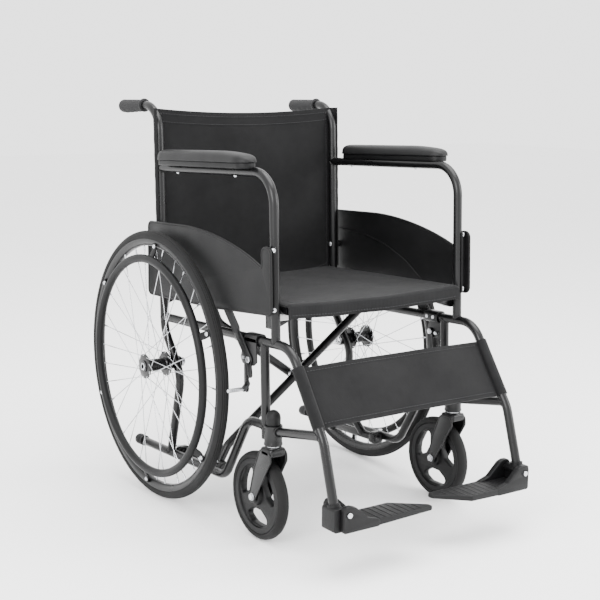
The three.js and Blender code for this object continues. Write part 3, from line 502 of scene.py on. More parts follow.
PAINT = hard_finish(
    "satin_black_powder_coat", (0.002, 0.002, 0.0022), (0.005, 0.005, 0.0055), (0.24, 0.34), 1100,
    0.00012, 0.3, Specular_IOR_Level=0.3,
)
MOULDING = hard_finish(
    "black_moulded_plastic", (0.002, 0.002, 0.0022), (0.005, 0.005, 0.0055), (0.42, 0.55), 1500,
    0.0002, Specular_IOR_Level=0.2,
)
SKIN = hard_finish(
    "black_foam_skin", (0.002, 0.002, 0.0022), (0.005, 0.005, 0.0055), (0.46, 0.58), 700,
    0.00025, 0.2, Specular_IOR_Level=0.25,
)
RUBBER = hard_finish(
    "black_grip_rubber", (0.009, 0.009, 0.0095), (0.016, 0.016, 0.017), (0.62, 0.75), 1300,
    0.0002, 0.2, Specular_IOR_Level=0.3,
)
TYRE = hard_finish(
    "black_tyre_rubber", (0.003, 0.003, 0.0032), (0.007, 0.0068, 0.0066), (0.6, 0.76), 800,
    0.00025, 0.6, Specular_IOR_Level=0.2,
)
STEEL = hard_finish(
    "zinc_plated_steel", (0.52, 0.53, 0.55), (0.72, 0.73, 0.75), (0.22, 0.36), 1600,
    0.00006, 0.5, 1.0,
)
STAINLESS = hard_finish(
    "stainless_spoke_wire", (0.5, 0.51, 0.53), (0.7, 0.71, 0.73), (0.18, 0.3), 2000,
    0.00004, 0.3, 1.0,
)
NYLON = hard_finish(
    "white_nylon", (0.7, 0.7, 0.68), (0.82, 0.82, 0.8), (0.38, 0.5), 900, 0.0001, 0.1
)
CLOTH_TONES = (0.0018, 0.0018, 0.002), (0.0055, 0.0055, 0.006)
LEVEL_CLOTH = cloth_finish("black_seat_cloth", *CLOTH_TONES, 0.0018, (0, 0, 0))
UPRIGHT_CLOTH = cloth_finish("black_back_cloth", *CLOTH_TONES, 0.0018, (-math.pi / 2, 0, 0))
THREAD = hard_finish(
    "black_sewing_thread", (0.014, 0.014, 0.015), (0.03, 0.03, 0.032), (0.5, 0.6), 3000,
    0.0001, 0.1, Specular_IOR_Level=0.3,
)

# ------------------------------------------------------------------ side frames


def side(y, z):
    return Vector((SIDE, y, z))


def build_back_cane():
    cane = frame_tube("cane", CANE, 0.06)
    sleeve = pin("sleeve", "x", 0.014, SIDE - 0.0145, SIDE + 0.0145, (0, 0, 0), 40, 0.001)
    settle_pair(join("cane", cane, sleeve), "back_cane_tube", "frame", PAINT, ["back_cane"])


def build_arm_tube():
    arm = frame_tube("arm", ARM, 0.064)
    beads = [
        weld("bead", side(0.038, 0.436), (0, -1, 0), (0, 0, 1)),
        weld("bead", side(-0.414, 0.1), (0, 0, 1), (0, 1, 0)),
    ]
    settle_pair(join("arm", arm, *beads), "armrest_tube", "frame", PAINT, ["arm_tube"])


def build_top_rail():
    rail = frame_tube("rail", TOP_RAIL, 0.06)
    bead = weld("bead", side(0.038, 0.1), (0, -1, 0), (0, 0, 1))
    settle_pair(join("rail", rail, bead), "top_rail_tube", "frame", PAINT, ["top_rail"])


def pivot_clamp(back, front):
    """The pressed bracket that carries one end of a brace's pivot sleeve."""
    x, z = -BRACE_X, PIVOT_Z
    ring = circle((x, z), TUBE + 0.0006)
    reach = 0.0145
    outer = rounded(
        [
            (x + reach, z - reach), (x + reach, z + reach), (SIDE + 0.006, z + reach),
            (SIDE + 0.006, z - reach)
        ],
        0.011, True
    )
    return plate("clamp", [outer, ring], front - back, "front", (back + front) / 2, 0.001)


def build_lower_rail():
    rail = frame_tube("rail", LOWER_RAIL, 0.045)
    clamps = [pivot_clamp(0.001, 0.015), pivot_clamp(-0.165, -0.151)]
    beads = [
        weld("bead", side(-0.374, -0.072), (0, 1, 0), (0, 0, 1)),
        weld("bead", side(0.024, -0.213), (-0.028, 0, 0.185), (0, 1, 0)),
    ]
    rail = join("rail", rail, *clamps, *beads)
    settle_pair(rail, "lower_rail_tube", "frame", PAINT, ["lower_rail"])
    bolts = []
    for y in (0.008, -0.158):
        bolts.append(pin("bolt", "z", 0.005, -0.1985, -0.195, (-0.2285, y, 0), 6, 0.0005))
    settle_pair(join("bolts", *bolts), "pivot_clamp_bolts", "frame", STEEL)


def build_front_post():
    to_frame = LEANING.inverted() @ STANDING
    housing_at = (CASTER_X, CASTER_Y, 0)
    housing_profile = [
        (0.0072, 0.21), (0.018, 0.21), (0.0188, 0.2112), (0.0188, 0.2145), (0.018, 0.216),
        (0.018, 0.245), (0.0188, 0.2464), (0.0188, 0.2498), (0.018, 0.251), (0.0072, 0.251)
    ]
    housing = turned("housing", housing_profile, "z", housing_at, closed=True)
    housing.data.transform(to_frame)
    bottom = (to_frame @ Vector((0, CASTER_Y, 0.218))).z
    post = tube("post", [side(-0.374, 0.1), side(-0.374, bottom)], 0.01)
    forebar = tube("forebar", [side(-0.413, -0.077), side(-0.5635, -0.055)], 0.01)
    web = plate(
        "web",
        [
            rounded(
                [(-0.374, -0.086), (-0.413, -0.086), (-0.413, -0.07), (-0.374, -0.07)], 0.003, True
            )
        ],
        0.006, "side", SIDE
    )
    beads = [
        weld("bead", side(-0.374, 0.1), (0, 0, -1), (0, 1, 0)),
        weld("bead", side(-0.5635, -0.055), (0, 1, -0.146), (0, 0.105, 0.166)),
        weld("bead", (CASTER_X, -0.4055, -0.078), (0, -1, 0.146), (0, 0, 1), TUBE, 0.018),
    ]
    post = join("post", post, housing, forebar, web, *beads)
    settle_pair(post, "front_post_and_housing", "frame", PAINT, ["front_post"])
    dome = [(0, 0), (0.0146, 0), (0.015, 0.001), (0.015, 0.015)]
    dome += [
        (0.015 * math.cos(a), 0.015 + 0.016 * math.sin(a)) for a in (0.25, 0.5, 0.75, 1, 1.25)
    ]
    dome += [(0.0015, 0.031), (0, 0.031)]
    cap = turned("cap", dome, "z", (CASTER_X, CASTER_Y, 0.2513), angle=40)
    settle_pair(cap, "caster_dust_cap", "frame", MOULDING, ["caster_cap"], STANDING)


def build_push_grip():
    profile = [(0.0099, 0), (0.0138, 0), (0.015, 0.0008), (0.0152, 0.0025), (0.0148, 0.0045)]
    profile += [(0.0126, 0.0062), (0.0118, 0.009)]
    for k in range(22):
        along = 0.0105 + 0.0038 * k
        belly = 0.0022 * (k / 21) ** 0.7
        profile += [(0.0118 + belly, along), (0.0123 + belly, along + 0.0006)]
        profile += [(0.0123 + belly, along + 0.0024), (0.0118 + belly, along + 0.003)]
    profile += [
        (0.0146, 0.0955), (0.0149, 0.098), (0.0142, 0.1015), (0.0122, 0.104), (0.009, 0.105)
    ]
    profile += [(0, 0.105)]
    grip = turned("grip", profile, "y", side(0.103, 0.574), 40)
    for vertex in grip.data.vertices:
        along, below = vertex.co.y - 0.115, 0.574 - vertex.co.z
        if 0 < along < 0.08 and below > 0.004:
            vertex.co.z -= 0.0017 * abs(math.sin(math.pi * along / 0.02))
    settle_pair(grip, "push_grip_sleeve", "frame", RUBBER, ["push_grip"])


def stadium(width, length, steps=14):
    """A long plan with round ends, centred, lying along Y."""
    half, straight = width / 2, length / 2 - width / 2
    points = []
    for k in range(2 * steps + 2):
        angle = math.pi * (k if k <= steps else k - 1) / steps
        shift = straight if k <= steps else -straight
        points.append((half * math.cos(angle), half * math.sin(angle) + shift))
    return points


def build_arm_pad():
    """A tray screwed to the tube, with a crowned foam cover over it."""
    x, middle = SIDE - 0.013, -0.177
    length, width = 0.362, 0.052
    bpy.ops.mesh.primitive_grid_add(
        x_subdivisions=24, y_subdivisions=96, size=2, location=(0, 0, 0)
    )
    cover = bpy.context.object
    select_only(cover)
    bpy.ops.object.mode_set(mode="EDIT")
    bpy.ops.mesh.select_all(action="SELECT")
    bpy.ops.mesh.extrude_region_move(TRANSFORM_OT_translate={"value": (0, 0, -1)})
    bpy.ops.object.mode_set(mode="OBJECT")
    for vertex in cover.data.vertices:
        u, v, top = vertex.co.x, vertex.co.y, vertex.co.z > -0.5
        end = max(abs(v) - 0.8, 0) / 0.2
        squeeze = math.sqrt(max(1 - end**2.2, 0.0))
        edge = max(abs(u), end)
        crown = (1 - abs(u) ** 3.2) ** 0.45 * (1 - end**3) ** 0.5
        forward = max(0.0, -v - 0.35) / 0.65
        vertex.co.x = x + u * width / 2 * max(squeeze, 0.12)
        vertex.co.y = middle + v * length / 2 * 0.993
        high = 0.4575 + 0.0195 * crown - 0.009 * forward**2 * crown
        vertex.co.z = high if top else 0.4555 - 0.0005 * edge
    tidy_shell(cover, 1e-5)
    smooth(apply(cover, "SUBSURF", levels=1, render_levels=1), 60)
    for each in settle_pair(cover, "arm_pad_cover", "frame", SKIN, ["arm_pad"]):
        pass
    tray_outline = [(x + a, middle + b) for a, b in stadium(width - 0.008, length - 0.012)]
    tray = plate("tray", [tray_outline], 0.0125, "top", 0.4492, 0.0025)
    settle_pair(tray, "arm_pad_tray", "frame", MOULDING)
    screws = []
    for y in (-0.041, -0.275):
        screws.append(pin("screw", "z", 0.0025, 0.4238, 0.4275, side(y, 0), 20, 0.001))
        screws.append(pin("washer", "z", 0.004, 0.4262, 0.4274, side(y, 0), 28, 0.0003))
    settle_pair(join("screws", *screws), "arm_pad_screws", "frame", STEEL)


def skirt_line():
    """The guard's edge in the side view, from its bottom back corner round to the front."""
    start, steer_a, steer_b, end = (-0.09, 0.315), (-0.2, 0.315), (-0.33, 0.285), (-0.4, 0.25)
    sweep = []
    for k in range(1, 24):
        t = k / 24
        parts = ((1 - t) ** 3, 3 * t * (1 - t) ** 2, 3 * t * t * (1 - t), t**3)
        sweep.append(
            [sum(w * p[i] for w, p in zip(parts, (start, steer_a, steer_b, end))) for i in (0, 1)]
        )
    corners = [
        (0.07, 0.152), (0.062, 0.315), start, *sweep, end, (-0.4, 0.292), (-0.43, 0.292),
        (-0.43, 0.161), (-0.4, 0.161), (-0.21, 0.152)
    ]
    return rounded(corners, 0.012, True)


REAR_SCREW = (0.038, 0.2335)


def build_skirt_guard():
    inner, outer = -0.2566, -0.2601
    line = skirt_line()
    panel = plate("panel", [line], 0.0035, "side", (inner + outer) / 2, 0.0008)
    rim = drawn(
        "rim", [((inner + outer) / 2, p.x, p.y) for p in line], 0.0028, closed=True, detail=3
    )
    smooth(rim, 60)
    crease = [(0.06, 0.275), (-0.074, 0.262), (-0.15, 0.243), (-0.22, 0.212), (-0.28, 0.171)]
    rib_points = [(inner + 0.0004, y, z) for y, z in crease]
    rib = smooth(drawn("rib", rounded(rib_points, 0.12), 0.0012, detail=3), 60)
    boss = pin("boss", "x", 0.008, outer, SIDE - TUBE + 0.001, (0, *REAR_SCREW), 28, 0.0008)
    shell = []
    for radius, sweep in (
        (TUBE + 0.003, range(95, 266, 10)), (TUBE + 0.0003, range(265, 94, -10))
    ):
        for degrees in sweep:
            turn = math.radians(degrees)
            shell.append((SIDE + radius * math.cos(turn), POST_Y + radius * math.sin(turn)))
    flange = plate("flange", [shell], 0.131, "top", 0.2265, 0.0006)
    web = block("web", (-0.2595, -0.25), (-0.419, -0.409), (0.161, 0.292), 0.001)
    guard = join("guard", panel, rim, rib, boss, flange, web)
    settle_pair(guard, "skirt_guard_panel", "frame", MOULDING, ["skirt_guard"])
    screws = []
    for z in (0.17, 0.287):
        head = [(0, -0.0028), (0.0028, -0.0026), (0.0045, -0.0015), (0.005, 0), (0, 0)]
        screw = turned("screw", head, "x", (-TUBE - 0.0028, 0, z), 24)
        to_post = Matrix.Translation((SIDE, POST_Y, 0)) @ Matrix.Rotation(math.pi / 4, 4, "Z")
        screw.data.transform(to_post)
        screws.append(screw)
    head = [(0, -0.0034), (0.003, -0.0032), (0.0052, -0.0018), (0.0058, 0)]
    head += [(0.0058, 0.0006), (0, 0.0006)]
    screws.append(turned("screw", head, "x", (outer - 0.001, *REAR_SCREW), 24))
    socket = [(0, -0.0006), (0.0058, -0.0006), (0.0052, 0.0018), (0.003, 0.0032), (0, 0.0034)]
    screws.append(turned("screw", socket, "x", (SIDE + TUBE, *REAR_SCREW), 24))
    settle_pair(join("screws", *screws), "skirt_guard_screws", "frame", STEEL)


def build_tip_cap():
    profile = [(0.0099, 0), (0.0118, 0), (0.0124, 0.0008), (0.0124, 0.004), (0.0119, 0.005)]
    profile += [(0.0119, 0.008), (0.0124, 0.009), (0.0124, 0.0265), (0.0115, 0.029)]
    profile += [(0.0095, 0.03), (0, 0.03)]
    cap = turned("cap", profile, "y", side(0.1503, -0.213), 36)
    settle_pair(cap, "rear_tip_cap", "frame", RUBBER, ["tip_cap"])


def guide_channel(middle, depth, outer, base):
    """A nylon block with a round-bottomed channel for the seat rail."""
    inner, top, reach = -0.1998, 0.1635, 0.0107
    turns = [math.pi * k / 12 for k in range(13)]
    bed = [(-BRACE_X - reach * math.cos(a), 0.1663 - reach * math.sin(a)) for a in turns[1:-1]]
    channel = [(-BRACE_X - reach, top), *[place for place in bed if place[1] < top]]
    outline = [
        (outer, top), *channel, (-BRACE_X + reach, top), (inner, top), (inner, base), (outer, base)
    ]
    return plate("guide", [outline], depth, "front", middle, 0.0008)


def build_seat_guides():
    front = guide_channel(-0.3925, 0.0235, -0.2275, 0.1435)
    settle_pair(front, "front_seat_guide", "frame", NYLON, ["seat_guide_front"])
    rear = guide_channel(0.0445, 0.016, -0.2275, 0.1435)
    settle_pair(rear, "rear_seat_guide", "frame", NYLON, ["seat_guide_rear"])
    brackets = []
    for middle, depth in ((-0.3925, 0.021), (0.0445, 0.014)):
        shelf = [(-0.2415, 0.1632), (-0.2278, 0.1632), (-0.2278, 0.1432), (-0.2002, 0.1432)]
        shelf += [(-0.2002, 0.1395), (-0.2285, 0.1285), (-0.2415, 0.1285)]
        brackets.append(
            plate("bracket", [rounded(shelf, 0.002, True)], depth, "front", middle, 0.0008)
        )
    settle_pair(join("brackets", *brackets), "seat_guide_brackets", "frame", PAINT)


# ------------------------------------------------------------------ brakes

BRAKE_X = SIDE - TUBE - 0.0003
LEVER_PIVOT, SHOE_PIVOT, SHOE_ROD = (-0.338, 0.06), (-0.318, 0.062), (-0.316, -0.004)


def build_brake_bracket():
    shell = TUBE + 0.0035
    wrap = rounded(
        [
            (SIDE + shell, 0.1 - shell), (SIDE + shell, 0.1 + shell),
            (BRAKE_X - 0.003, 0.1 + shell), (BRAKE_X - 0.003, 0.1 - shell)
        ],
        0.0095, True
    )
    clamp = plate(
        "clamp", [wrap, circle((SIDE, 0.1), TUBE + 0.0002)], 0.042, "front", -0.341, 0.0008
    )
    outline = [
        (-0.362, 0.106), (-0.362, 0.056), (-0.35, 0.048), (-0.31, 0.048), (-0.302, 0.06),
        (-0.312, 0.087), (-0.32, 0.106)
    ]
    web = plate("web", [rounded(outline, 0.006, True)], 0.003, "side", BRAKE_X - 0.0015)
    settle_pair(
        join("bracket", clamp, web), "brake_bracket_plate", "frame", PAINT, ["brake_bracket"]
    )
    bolts = []
    for y, z in (LEVER_PIVOT, SHOE_PIVOT):
        bolts.append(pin("bolt", "x", 0.004, BRAKE_X - 0.0095, BRAKE_X + 0.0068, (0, y, z), 20))
    y, z = LEVER_PIVOT
    bolts.append(
        pin("head", "x", 0.0072, BRAKE_X - 0.0095, BRAKE_X - 0.0067, (0, y, z), 6, 0.0005)
    )
    y, z = SHOE_PIVOT
    bolts.append(
        pin("head", "x", 0.0072, BRAKE_X + 0.0038, BRAKE_X + 0.0065, (0, y, z), 6, 0.0005)
    )
    for y in (-0.35, -0.33):
        bolts.append(
            pin(
                "screw", "x", 0.0042, SIDE + shell - 0.001, SIDE + shell + 0.0018, (0, y, 0.1), 20,
                0.0008
            )
        )
    settle_pair(join("bolts", *bolts), "brake_bolts", "frame", STEEL)


def build_brake_lever():
    turn = math.radians(41)
    up = Vector((math.sin(turn), math.cos(turn)))
    pivot = Vector(LEVER_PIVOT)
    top = pivot + up * 0.124
    middle = BRAKE_X - 0.0048
    hole = circle(pivot, 0.0045, 24)
    handle = plate("handle", [bar_outline(pivot, top, 0.021), hole], 0.003, "side", middle)
    tail = plate(
        "tail", [bar_outline(pivot, pivot + Vector((-0.003, -0.03)), 0.0147), hole], 0.003, "side",
        middle
    )
    settle_pair(join("lever", handle, tail), "brake_lever_bar", "lever", PAINT, ["brake_lever"])
    sleeve = plate(
        "sleeve", [bar_outline(pivot + up * 0.076, top, 0.0235)], 0.0062, "side", BRAKE_X - 0.0034,
        0.0024
    )
    settle_pair(sleeve, "brake_lever_sleeve", "lever", RUBBER)


def build_brake_shoe():
    hole = circle(SHOE_PIVOT, 0.0045, 24)
    arm = plate(
        "arm", [bar_outline(SHOE_PIVOT, SHOE_ROD, 0.016), hole], 0.003, "side", BRAKE_X + 0.0018
    )
    y, z = SHOE_ROD
    link = plate(
        "link", [bar_outline(SHOE_ROD, (y - 0.016, z + 0.014), 0.0128)], 0.003, "side",
        BRAKE_X - 0.0048
    )
    settle_pair(join("shoe_arm", arm, link), "brake_shoe_arm", "shoe", PAINT)
    rod = pin("rod", "x", 0.004, -0.292, BRAKE_X + 0.003, (0, y, z), 36, 0.0012)
    grooves = []
    for k in range(6):
        grooves.append(
            turned(
                "rib", [(0.0038, -0.0012), (0.0045, -0.0006), (0.0045, 0.0006), (0.0038, 0.0012)],
                "x", (-0.266 - 0.0045 * k, y, z), 28, closed=True
            )
        )
    settle_pair(join("rod", rod, *grooves), "brake_shoe_rod", "shoe", STEEL, ["brake_shoe"])


# ------------------------------------------------------------------ rear wheels

HUB_AT = (WHEEL_X, 0, AXLE_Z)


def build_wheel_axle():
    shaft = pin("shaft", "x", 0.006, -0.212, -0.318, (0, 0, 0.3), 32)
    parts = [shaft]
    parts.append(pin("nut", "x", 0.011, -0.2237, -0.2155, (0, 0, 0.3), 6, 0.0008))
    parts.append(pin("washer", "x", 0.0125, -0.2237, -0.2222, (0, 0, 0.3), 40, 0.0004))
    parts.append(pin("cap", "x", 0.0095, -0.3153, -0.318, (0, 0, 0.3), 6, 0.0008))
    settle_pair(join("axle", *parts), "wheel_axle_bolt", "frame", STEEL, ["wheel_axle"], STANDING)


def build_tyre():
    crown = []
    for k in range(33):
        angle = math.radians(-112 + 7 * k)
        groove = 0.0009 if abs(k - 16) in (2, 5) else 0.0
        crown.append(
            (0.288 + (0.012 - groove) * math.cos(angle), (0.012 - groove) * math.sin(angle))
        )
    profile = [(0.2803, -0.0075), *crown, (0.2803, 0.0075)]
    tyre = turned("tyre", profile, "x", HUB_AT, 120, closed=True, angle=25)
    settle_pair(tyre, "rear_tyre", "wheel", TYRE, ["tyre"], STANDING)


def build_rim():
    half = [
        (0.2795, 0.0078), (0.2822, 0.0095), (0.2826, 0.0105), (0.2805, 0.0108), (0.2762, 0.0104),
        (0.2728, 0.0095), (0.2692, 0.0072), (0.2671, 0.0045), (0.2669, 0)
    ]
    rim = turned("rim", mirrored(half), "x", HUB_AT, 120, closed=True, angle=40)
    settle_pair(rim, "wheel_rim_hoop", "wheel", PAINT, ["wheel_rim"], STANDING)


def build_hub():
    profile = [
        (0.0068, -0.0295), (0.0125, -0.0295), (0.0132, -0.0285), (0.0132, -0.0268),
        (0.0262, -0.0264), (0.0275, -0.0258), (0.0275, -0.024), (0.0262, -0.0234),
        (0.0145, -0.0225)
    ]
    for k in range(9):
        along = -0.0195 + 0.0046 * k
        profile += [
            (0.0122, along), (0.0137, along + 0.0008), (0.0137, along + 0.0024),
            (0.0122, along + 0.0032)
        ]
    profile += [
        (0.0145, 0.0235), (0.0262, 0.0254), (0.0275, 0.026), (0.0275, 0.0278), (0.0262, 0.0284),
        (0.0132, 0.0288), (0.0132, 0.0305), (0.0125, 0.0312), (0.0068, 0.0312)
    ]
    hub = turned(
        "hub", [(radius, -along) for radius, along in profile], "x", HUB_AT, 48, closed=True
    )
    settle_pair(hub, "wheel_hub_barrel", "wheel", PAINT, ["hub_spokes"], STANDING)


def build_spokes():
    """Thirty-six crossed spokes laced in pairs, each with its nipple at the rim."""
    wires, nipples = [], []
    for i in range(36):
        on_outer, leading = i % 2, 1 if (i // 2) % 2 else -1
        rim_angle = 2 * math.pi * i / 36
        hub_angle = 2 * math.pi * (i // 2 + 0.5 * on_outer) / 18 + leading * math.radians(62)
        layer = leading * 0.0015
        hub_x = WHEEL_X - ((0.027 if on_outer else -0.025) + layer)
        rim_x = WHEEL_X - ((0.0022 if on_outer else -0.0022) + layer)
        start = Vector((hub_x, 0.024 * math.sin(hub_angle), 0.3 + 0.024 * math.cos(hub_angle)))
        end = Vector((rim_x, 0.2665 * math.sin(rim_angle), 0.3 + 0.2665 * math.cos(rim_angle)))
        head = Vector((WHEEL_X - (0.0255 if on_outer else -0.0235), start.y, start.z))
        wires.append(drawn("spoke", [head, start, end], 0.0009, detail=2))
        into = (end - start).normalized()
        nipples.append(drawn("nipple", [end - into * 0.013, end + into * 0.001], 0.0019, detail=2))
    wire = smooth(join("spokes", *wires, *nipples), 50)
    settle_pair(wire, "wheel_spokes", "wheel", STAINLESS, (), STANDING)


def build_hand_rim():
    middle = WHEEL_X - 0.02
    section = circle((0.24, 0), 0.009, 20)
    ring = turned("ring", section, "x", (middle, 0, 0.3), 120, closed=True, angle=60)
    tabs, screws = [], []
    for i in range(6):
        angle = 2 * math.pi * i / 6 + math.radians(5)
        about = Matrix.Translation((0, 0, 0.3)) @ Matrix.Rotation(angle, 4, "X")
        strap = [
            (WHEEL_X - 0.0128, 0, 0.2765), (WHEEL_X - 0.0128, 0, 0.262),
            (WHEEL_X - 0.0185, 0, 0.25), (WHEEL_X - 0.0185, 0, 0.241)
        ]
        line = rounded(strap, 0.008)
        tab = drawn("tab", line)
        select_only(tab)
        bpy.ops.object.mode_set(mode="EDIT")
        bpy.ops.mesh.select_all(action="SELECT")
        bpy.ops.mesh.extrude_region_move(TRANSFORM_OT_translate={"value": (0, 0.016, 0)})
        bpy.ops.object.mode_set(mode="OBJECT")
        tab.data.transform(about @ Matrix.Translation((0, -0.008, 0)))
        apply(tab, "SOLIDIFY", thickness=0.003, offset=0)
        tabs.append(soften(tidy_shell(tab), 0.0007))
        screw = turned(
            "screw", [(0, -0.003), (0.0026, -0.0028), (0.0045, -0.0014), (0.005, 0), (0, 0)], "x",
            (WHEEL_X - 0.0142, 0, 0.2705), 20
        )
        screw.data.transform(about)
        screws.append(screw)
    settle_pair(
        join("hand_rim", ring, *tabs), "hand_rim_hoop", "wheel", MOULDING, ["hand_rim"], STANDING
    )
    settle_pair(join("screws", *screws), "hand_rim_screws", "wheel", STEEL, (), STANDING)


# ------------------------------------------------------------------ casters

CASTER_HUB = Vector((CASTER_X, -0.359, 0.092))


def build_caster_wheel():
    section = [
        (0.0782, -0.0105), (0.0795, -0.0122), (0.083, -0.013), (0.0868, -0.0118), (0.0895, -0.009),
        (0.0912, -0.005), (0.092, 0)
    ]
    tyre = turned("tyre", mirrored(section), "x", CASTER_HUB, 80, closed=True, angle=40)
    settle_pair(tyre, "caster_tread", "caster_roller", TYRE, ["caster_tyre"], STANDING)
    y, z = CASTER_HUB.y, CASTER_HUB.z
    windows = []
    for i in range(3):
        middle = math.radians(90 + 60 + 120 * i)
        corners = []
        for radius, spread in (
            (0.0315, 24), (0.061, 41), (0.0645, 20), (0.0645, -20), (0.061, -41), (0.0315, -24)
        ):
            angle = middle + math.radians(spread)
            corners.append((y + radius * math.cos(angle), z + radius * math.sin(angle)))
        windows.append(rounded(corners, 0.009, True))
    centre = plate(
        "centre", [circle((y, z), 0.0778, 80), *windows], 0.016, "side", CASTER_X, 0.0035
    )
    rim_section = [
        (0.0665, -0.0112), (0.0772, -0.0112), (0.0779, -0.0104), (0.0779, 0.0104),
        (0.0772, 0.0112), (0.0665, 0.0112), (0.0648, 0.0085), (0.0642, 0), (0.0648, -0.0085)
    ]
    rim = turned("rim", rim_section, "x", CASTER_HUB, 80, closed=True)
    hub_section = [
        (0.0048, -0.015), (0.0155, -0.015), (0.0172, -0.0138), (0.018, -0.011), (0.0195, -0.0078),
        (0.0195, 0.0078), (0.018, 0.011), (0.0172, 0.0138), (0.0155, 0.015), (0.0048, 0.015)
    ]
    hub = turned("hub", hub_section, "x", CASTER_HUB, 40, closed=True)
    settle_pair(
        join("centre", centre, rim, hub), "caster_wheel_centre", "caster_roller", MOULDING,
        ["caster_wheel"], STANDING
    )
    parts = []
    for way in (-1, 1):
        at = CASTER_HUB
        parts.append(
            pin(
                "head", "x", 0.007, CASTER_X + way * 0.0212, CASTER_X + way * 0.0248, at, 6, 0.0006
            )
        )
        parts.append(
            pin(
                "washer", "x", 0.0078, CASTER_X + way * 0.0207, CASTER_X + way * 0.0217, at, 32,
                0.0003
            )
        )
    parts.append(pin("shaft", "x", 0.004, CASTER_X - 0.0246, CASTER_X + 0.0246, CASTER_HUB, 24))
    settle_pair(
        join("axle", *parts), "caster_axle_bolt", "caster_swivel", STEEL, ["caster_axle"], STANDING
    )


def build_caster_fork():
    swivel_y, hub_y, hub_z = CASTER_Y, CASTER_HUB.y, CASTER_HUB.z
    eye = [
        (hub_y + 0.0108 * math.cos(a), hub_z + 0.0108 * math.sin(a))
        for a in [math.radians(195 + 15 * k) for k in range(12)]
    ]
    outline = [(swivel_y - 0.018, 0.2), (swivel_y - 0.02, 0.18), (swivel_y + 0.008, 0.135), *eye]
    outline += [(swivel_y + 0.04, 0.15), (swivel_y + 0.018, 0.2)]
    outline = rounded(outline, 0.012, True)
    parts = []
    for way in (-1, 1):
        middle = CASTER_X + way * 0.0185
        hole = circle((hub_y, hub_z), 0.0046, 24)
        parts.append(plate("cheek", [outline, hole], 0.004, "side", middle, 0.0012))
        bead = [(middle + way * 0.0015, p.x, p.y) for p in outline]
        parts.append(smooth(drawn("lip", bead, 0.0016, closed=True, detail=2), 60))
    plan = rounded(
        [
            (CASTER_X - 0.0205, swivel_y - 0.02), (CASTER_X + 0.0205, swivel_y - 0.02),
            (CASTER_X + 0.0205, swivel_y + 0.02), (CASTER_X - 0.0205, swivel_y + 0.02)
        ],
        0.009, True
    )
    parts.append(plate("crown", [plan], 0.016, "top", 0.197, 0.004))
    collar = [(0, 0.2035), (0.0185, 0.2035), (0.018, 0.2055), (0.0165, 0.2074), (0, 0.2074)]
    parts.append(turned("collar", collar, "z", (CASTER_X, swivel_y, 0), 44))
    cone = [(0, 0.2075), (0.0143, 0.2075), (0.0145, 0.2078), (0.0145, 0.2094), (0.0143, 0.2097)]
    cone += [(0.006, 0.2097), (0.006, 0.247), (0, 0.247)]
    settle_pair(
        join("fork", *parts), "caster_fork_stamping", "caster_swivel", PAINT, ["caster_fork"],
        STANDING
    )
    ring = turned("cone", cone, "z", (CASTER_X, swivel_y, 0), 44)
    settle_pair(ring, "caster_stem_cone", "caster_swivel", STEEL, (), STANDING)


# ------------------------------------------------------------------ footplates

HINGE = Vector((-0.228, -0.609, 0.132))


def footplate_lug(y):
    outline = [
        (-0.012, -0.0355), (0.075, -0.0355), (0.075, -0.0225), (0.046, -0.014), (0.017, 0.012),
        (0.0055, 0.016), (-0.007, 0.0155), (-0.012, 0.008)
    ]
    hole = circle((HINGE.x, HINGE.z), 0.0056, 24)
    line = rounded([(HINGE.x + a, HINGE.z + b) for a, b in outline], 0.005, True)
    return plate("lug", [line, hole], 0.0127, "front", y, 0.0015)


def build_footplates():
    half, reach = 0.034, 0.208
    inner = 0.0038
    edge = half - 0.0004
    outline = [
        (inner, -edge), (reach, -edge), (reach, edge - 0.052), (reach - 0.063, edge), (inner, edge)
    ]
    line = rounded([(HINGE.x + a, HINGE.y + b) for a, b in outline], 0.007, True)
    slab = plate("slab", [line], 0.014, "top", HINGE.z - 0.029, 0.002)
    taper_from = HINGE.x + 0.075
    for vertex in slab.data.vertices:
        share = max(0.0, (vertex.co.x - taper_from) / 0.133)
        if vertex.co.z < HINGE.z - 0.029:
            vertex.co.z += 0.0058 * share
    ribs = []
    for k in range(11):
        along = 0.034 + 0.0145 * k
        limit = half - 0.006
        back = min(limit, half - 0.006 - 0.052 * max(0.0, (along - 0.145) / 0.063))
        start, end = (HINGE.x + along, HINGE.y - limit), (HINGE.x + along, HINGE.y + back)
        ribs.append(
            plate(
                "rib", [bar_outline(start, end, 0.0034)], 0.0022, "top", HINGE.z - 0.0226, 0.0006
            )
        )
    lugs = [footplate_lug(HINGE.y - half + 0.00635), footplate_lug(HINGE.y + half - 0.00635)]
    right = join("footplate", slab, *ribs, *lugs)
    left = right.copy()
    left.data = right.data.copy()
    bpy.context.collection.objects.link(left)
    over = Matrix.Translation((-HINGE.x, HINGE.y, HINGE.z)) @ Matrix.Rotation(math.pi, 4, "Z")
    left.data.transform(over @ Matrix.Translation(-HINGE))
    for side_name, each in (("right", right), ("left", left)):
        body = f"{side_name}_footplate_flap"
        settle(
            each, f"{side_name}_footplate_tread", body, MOULDING, [f"{side_name}_footplate"],
            STANDING
        )


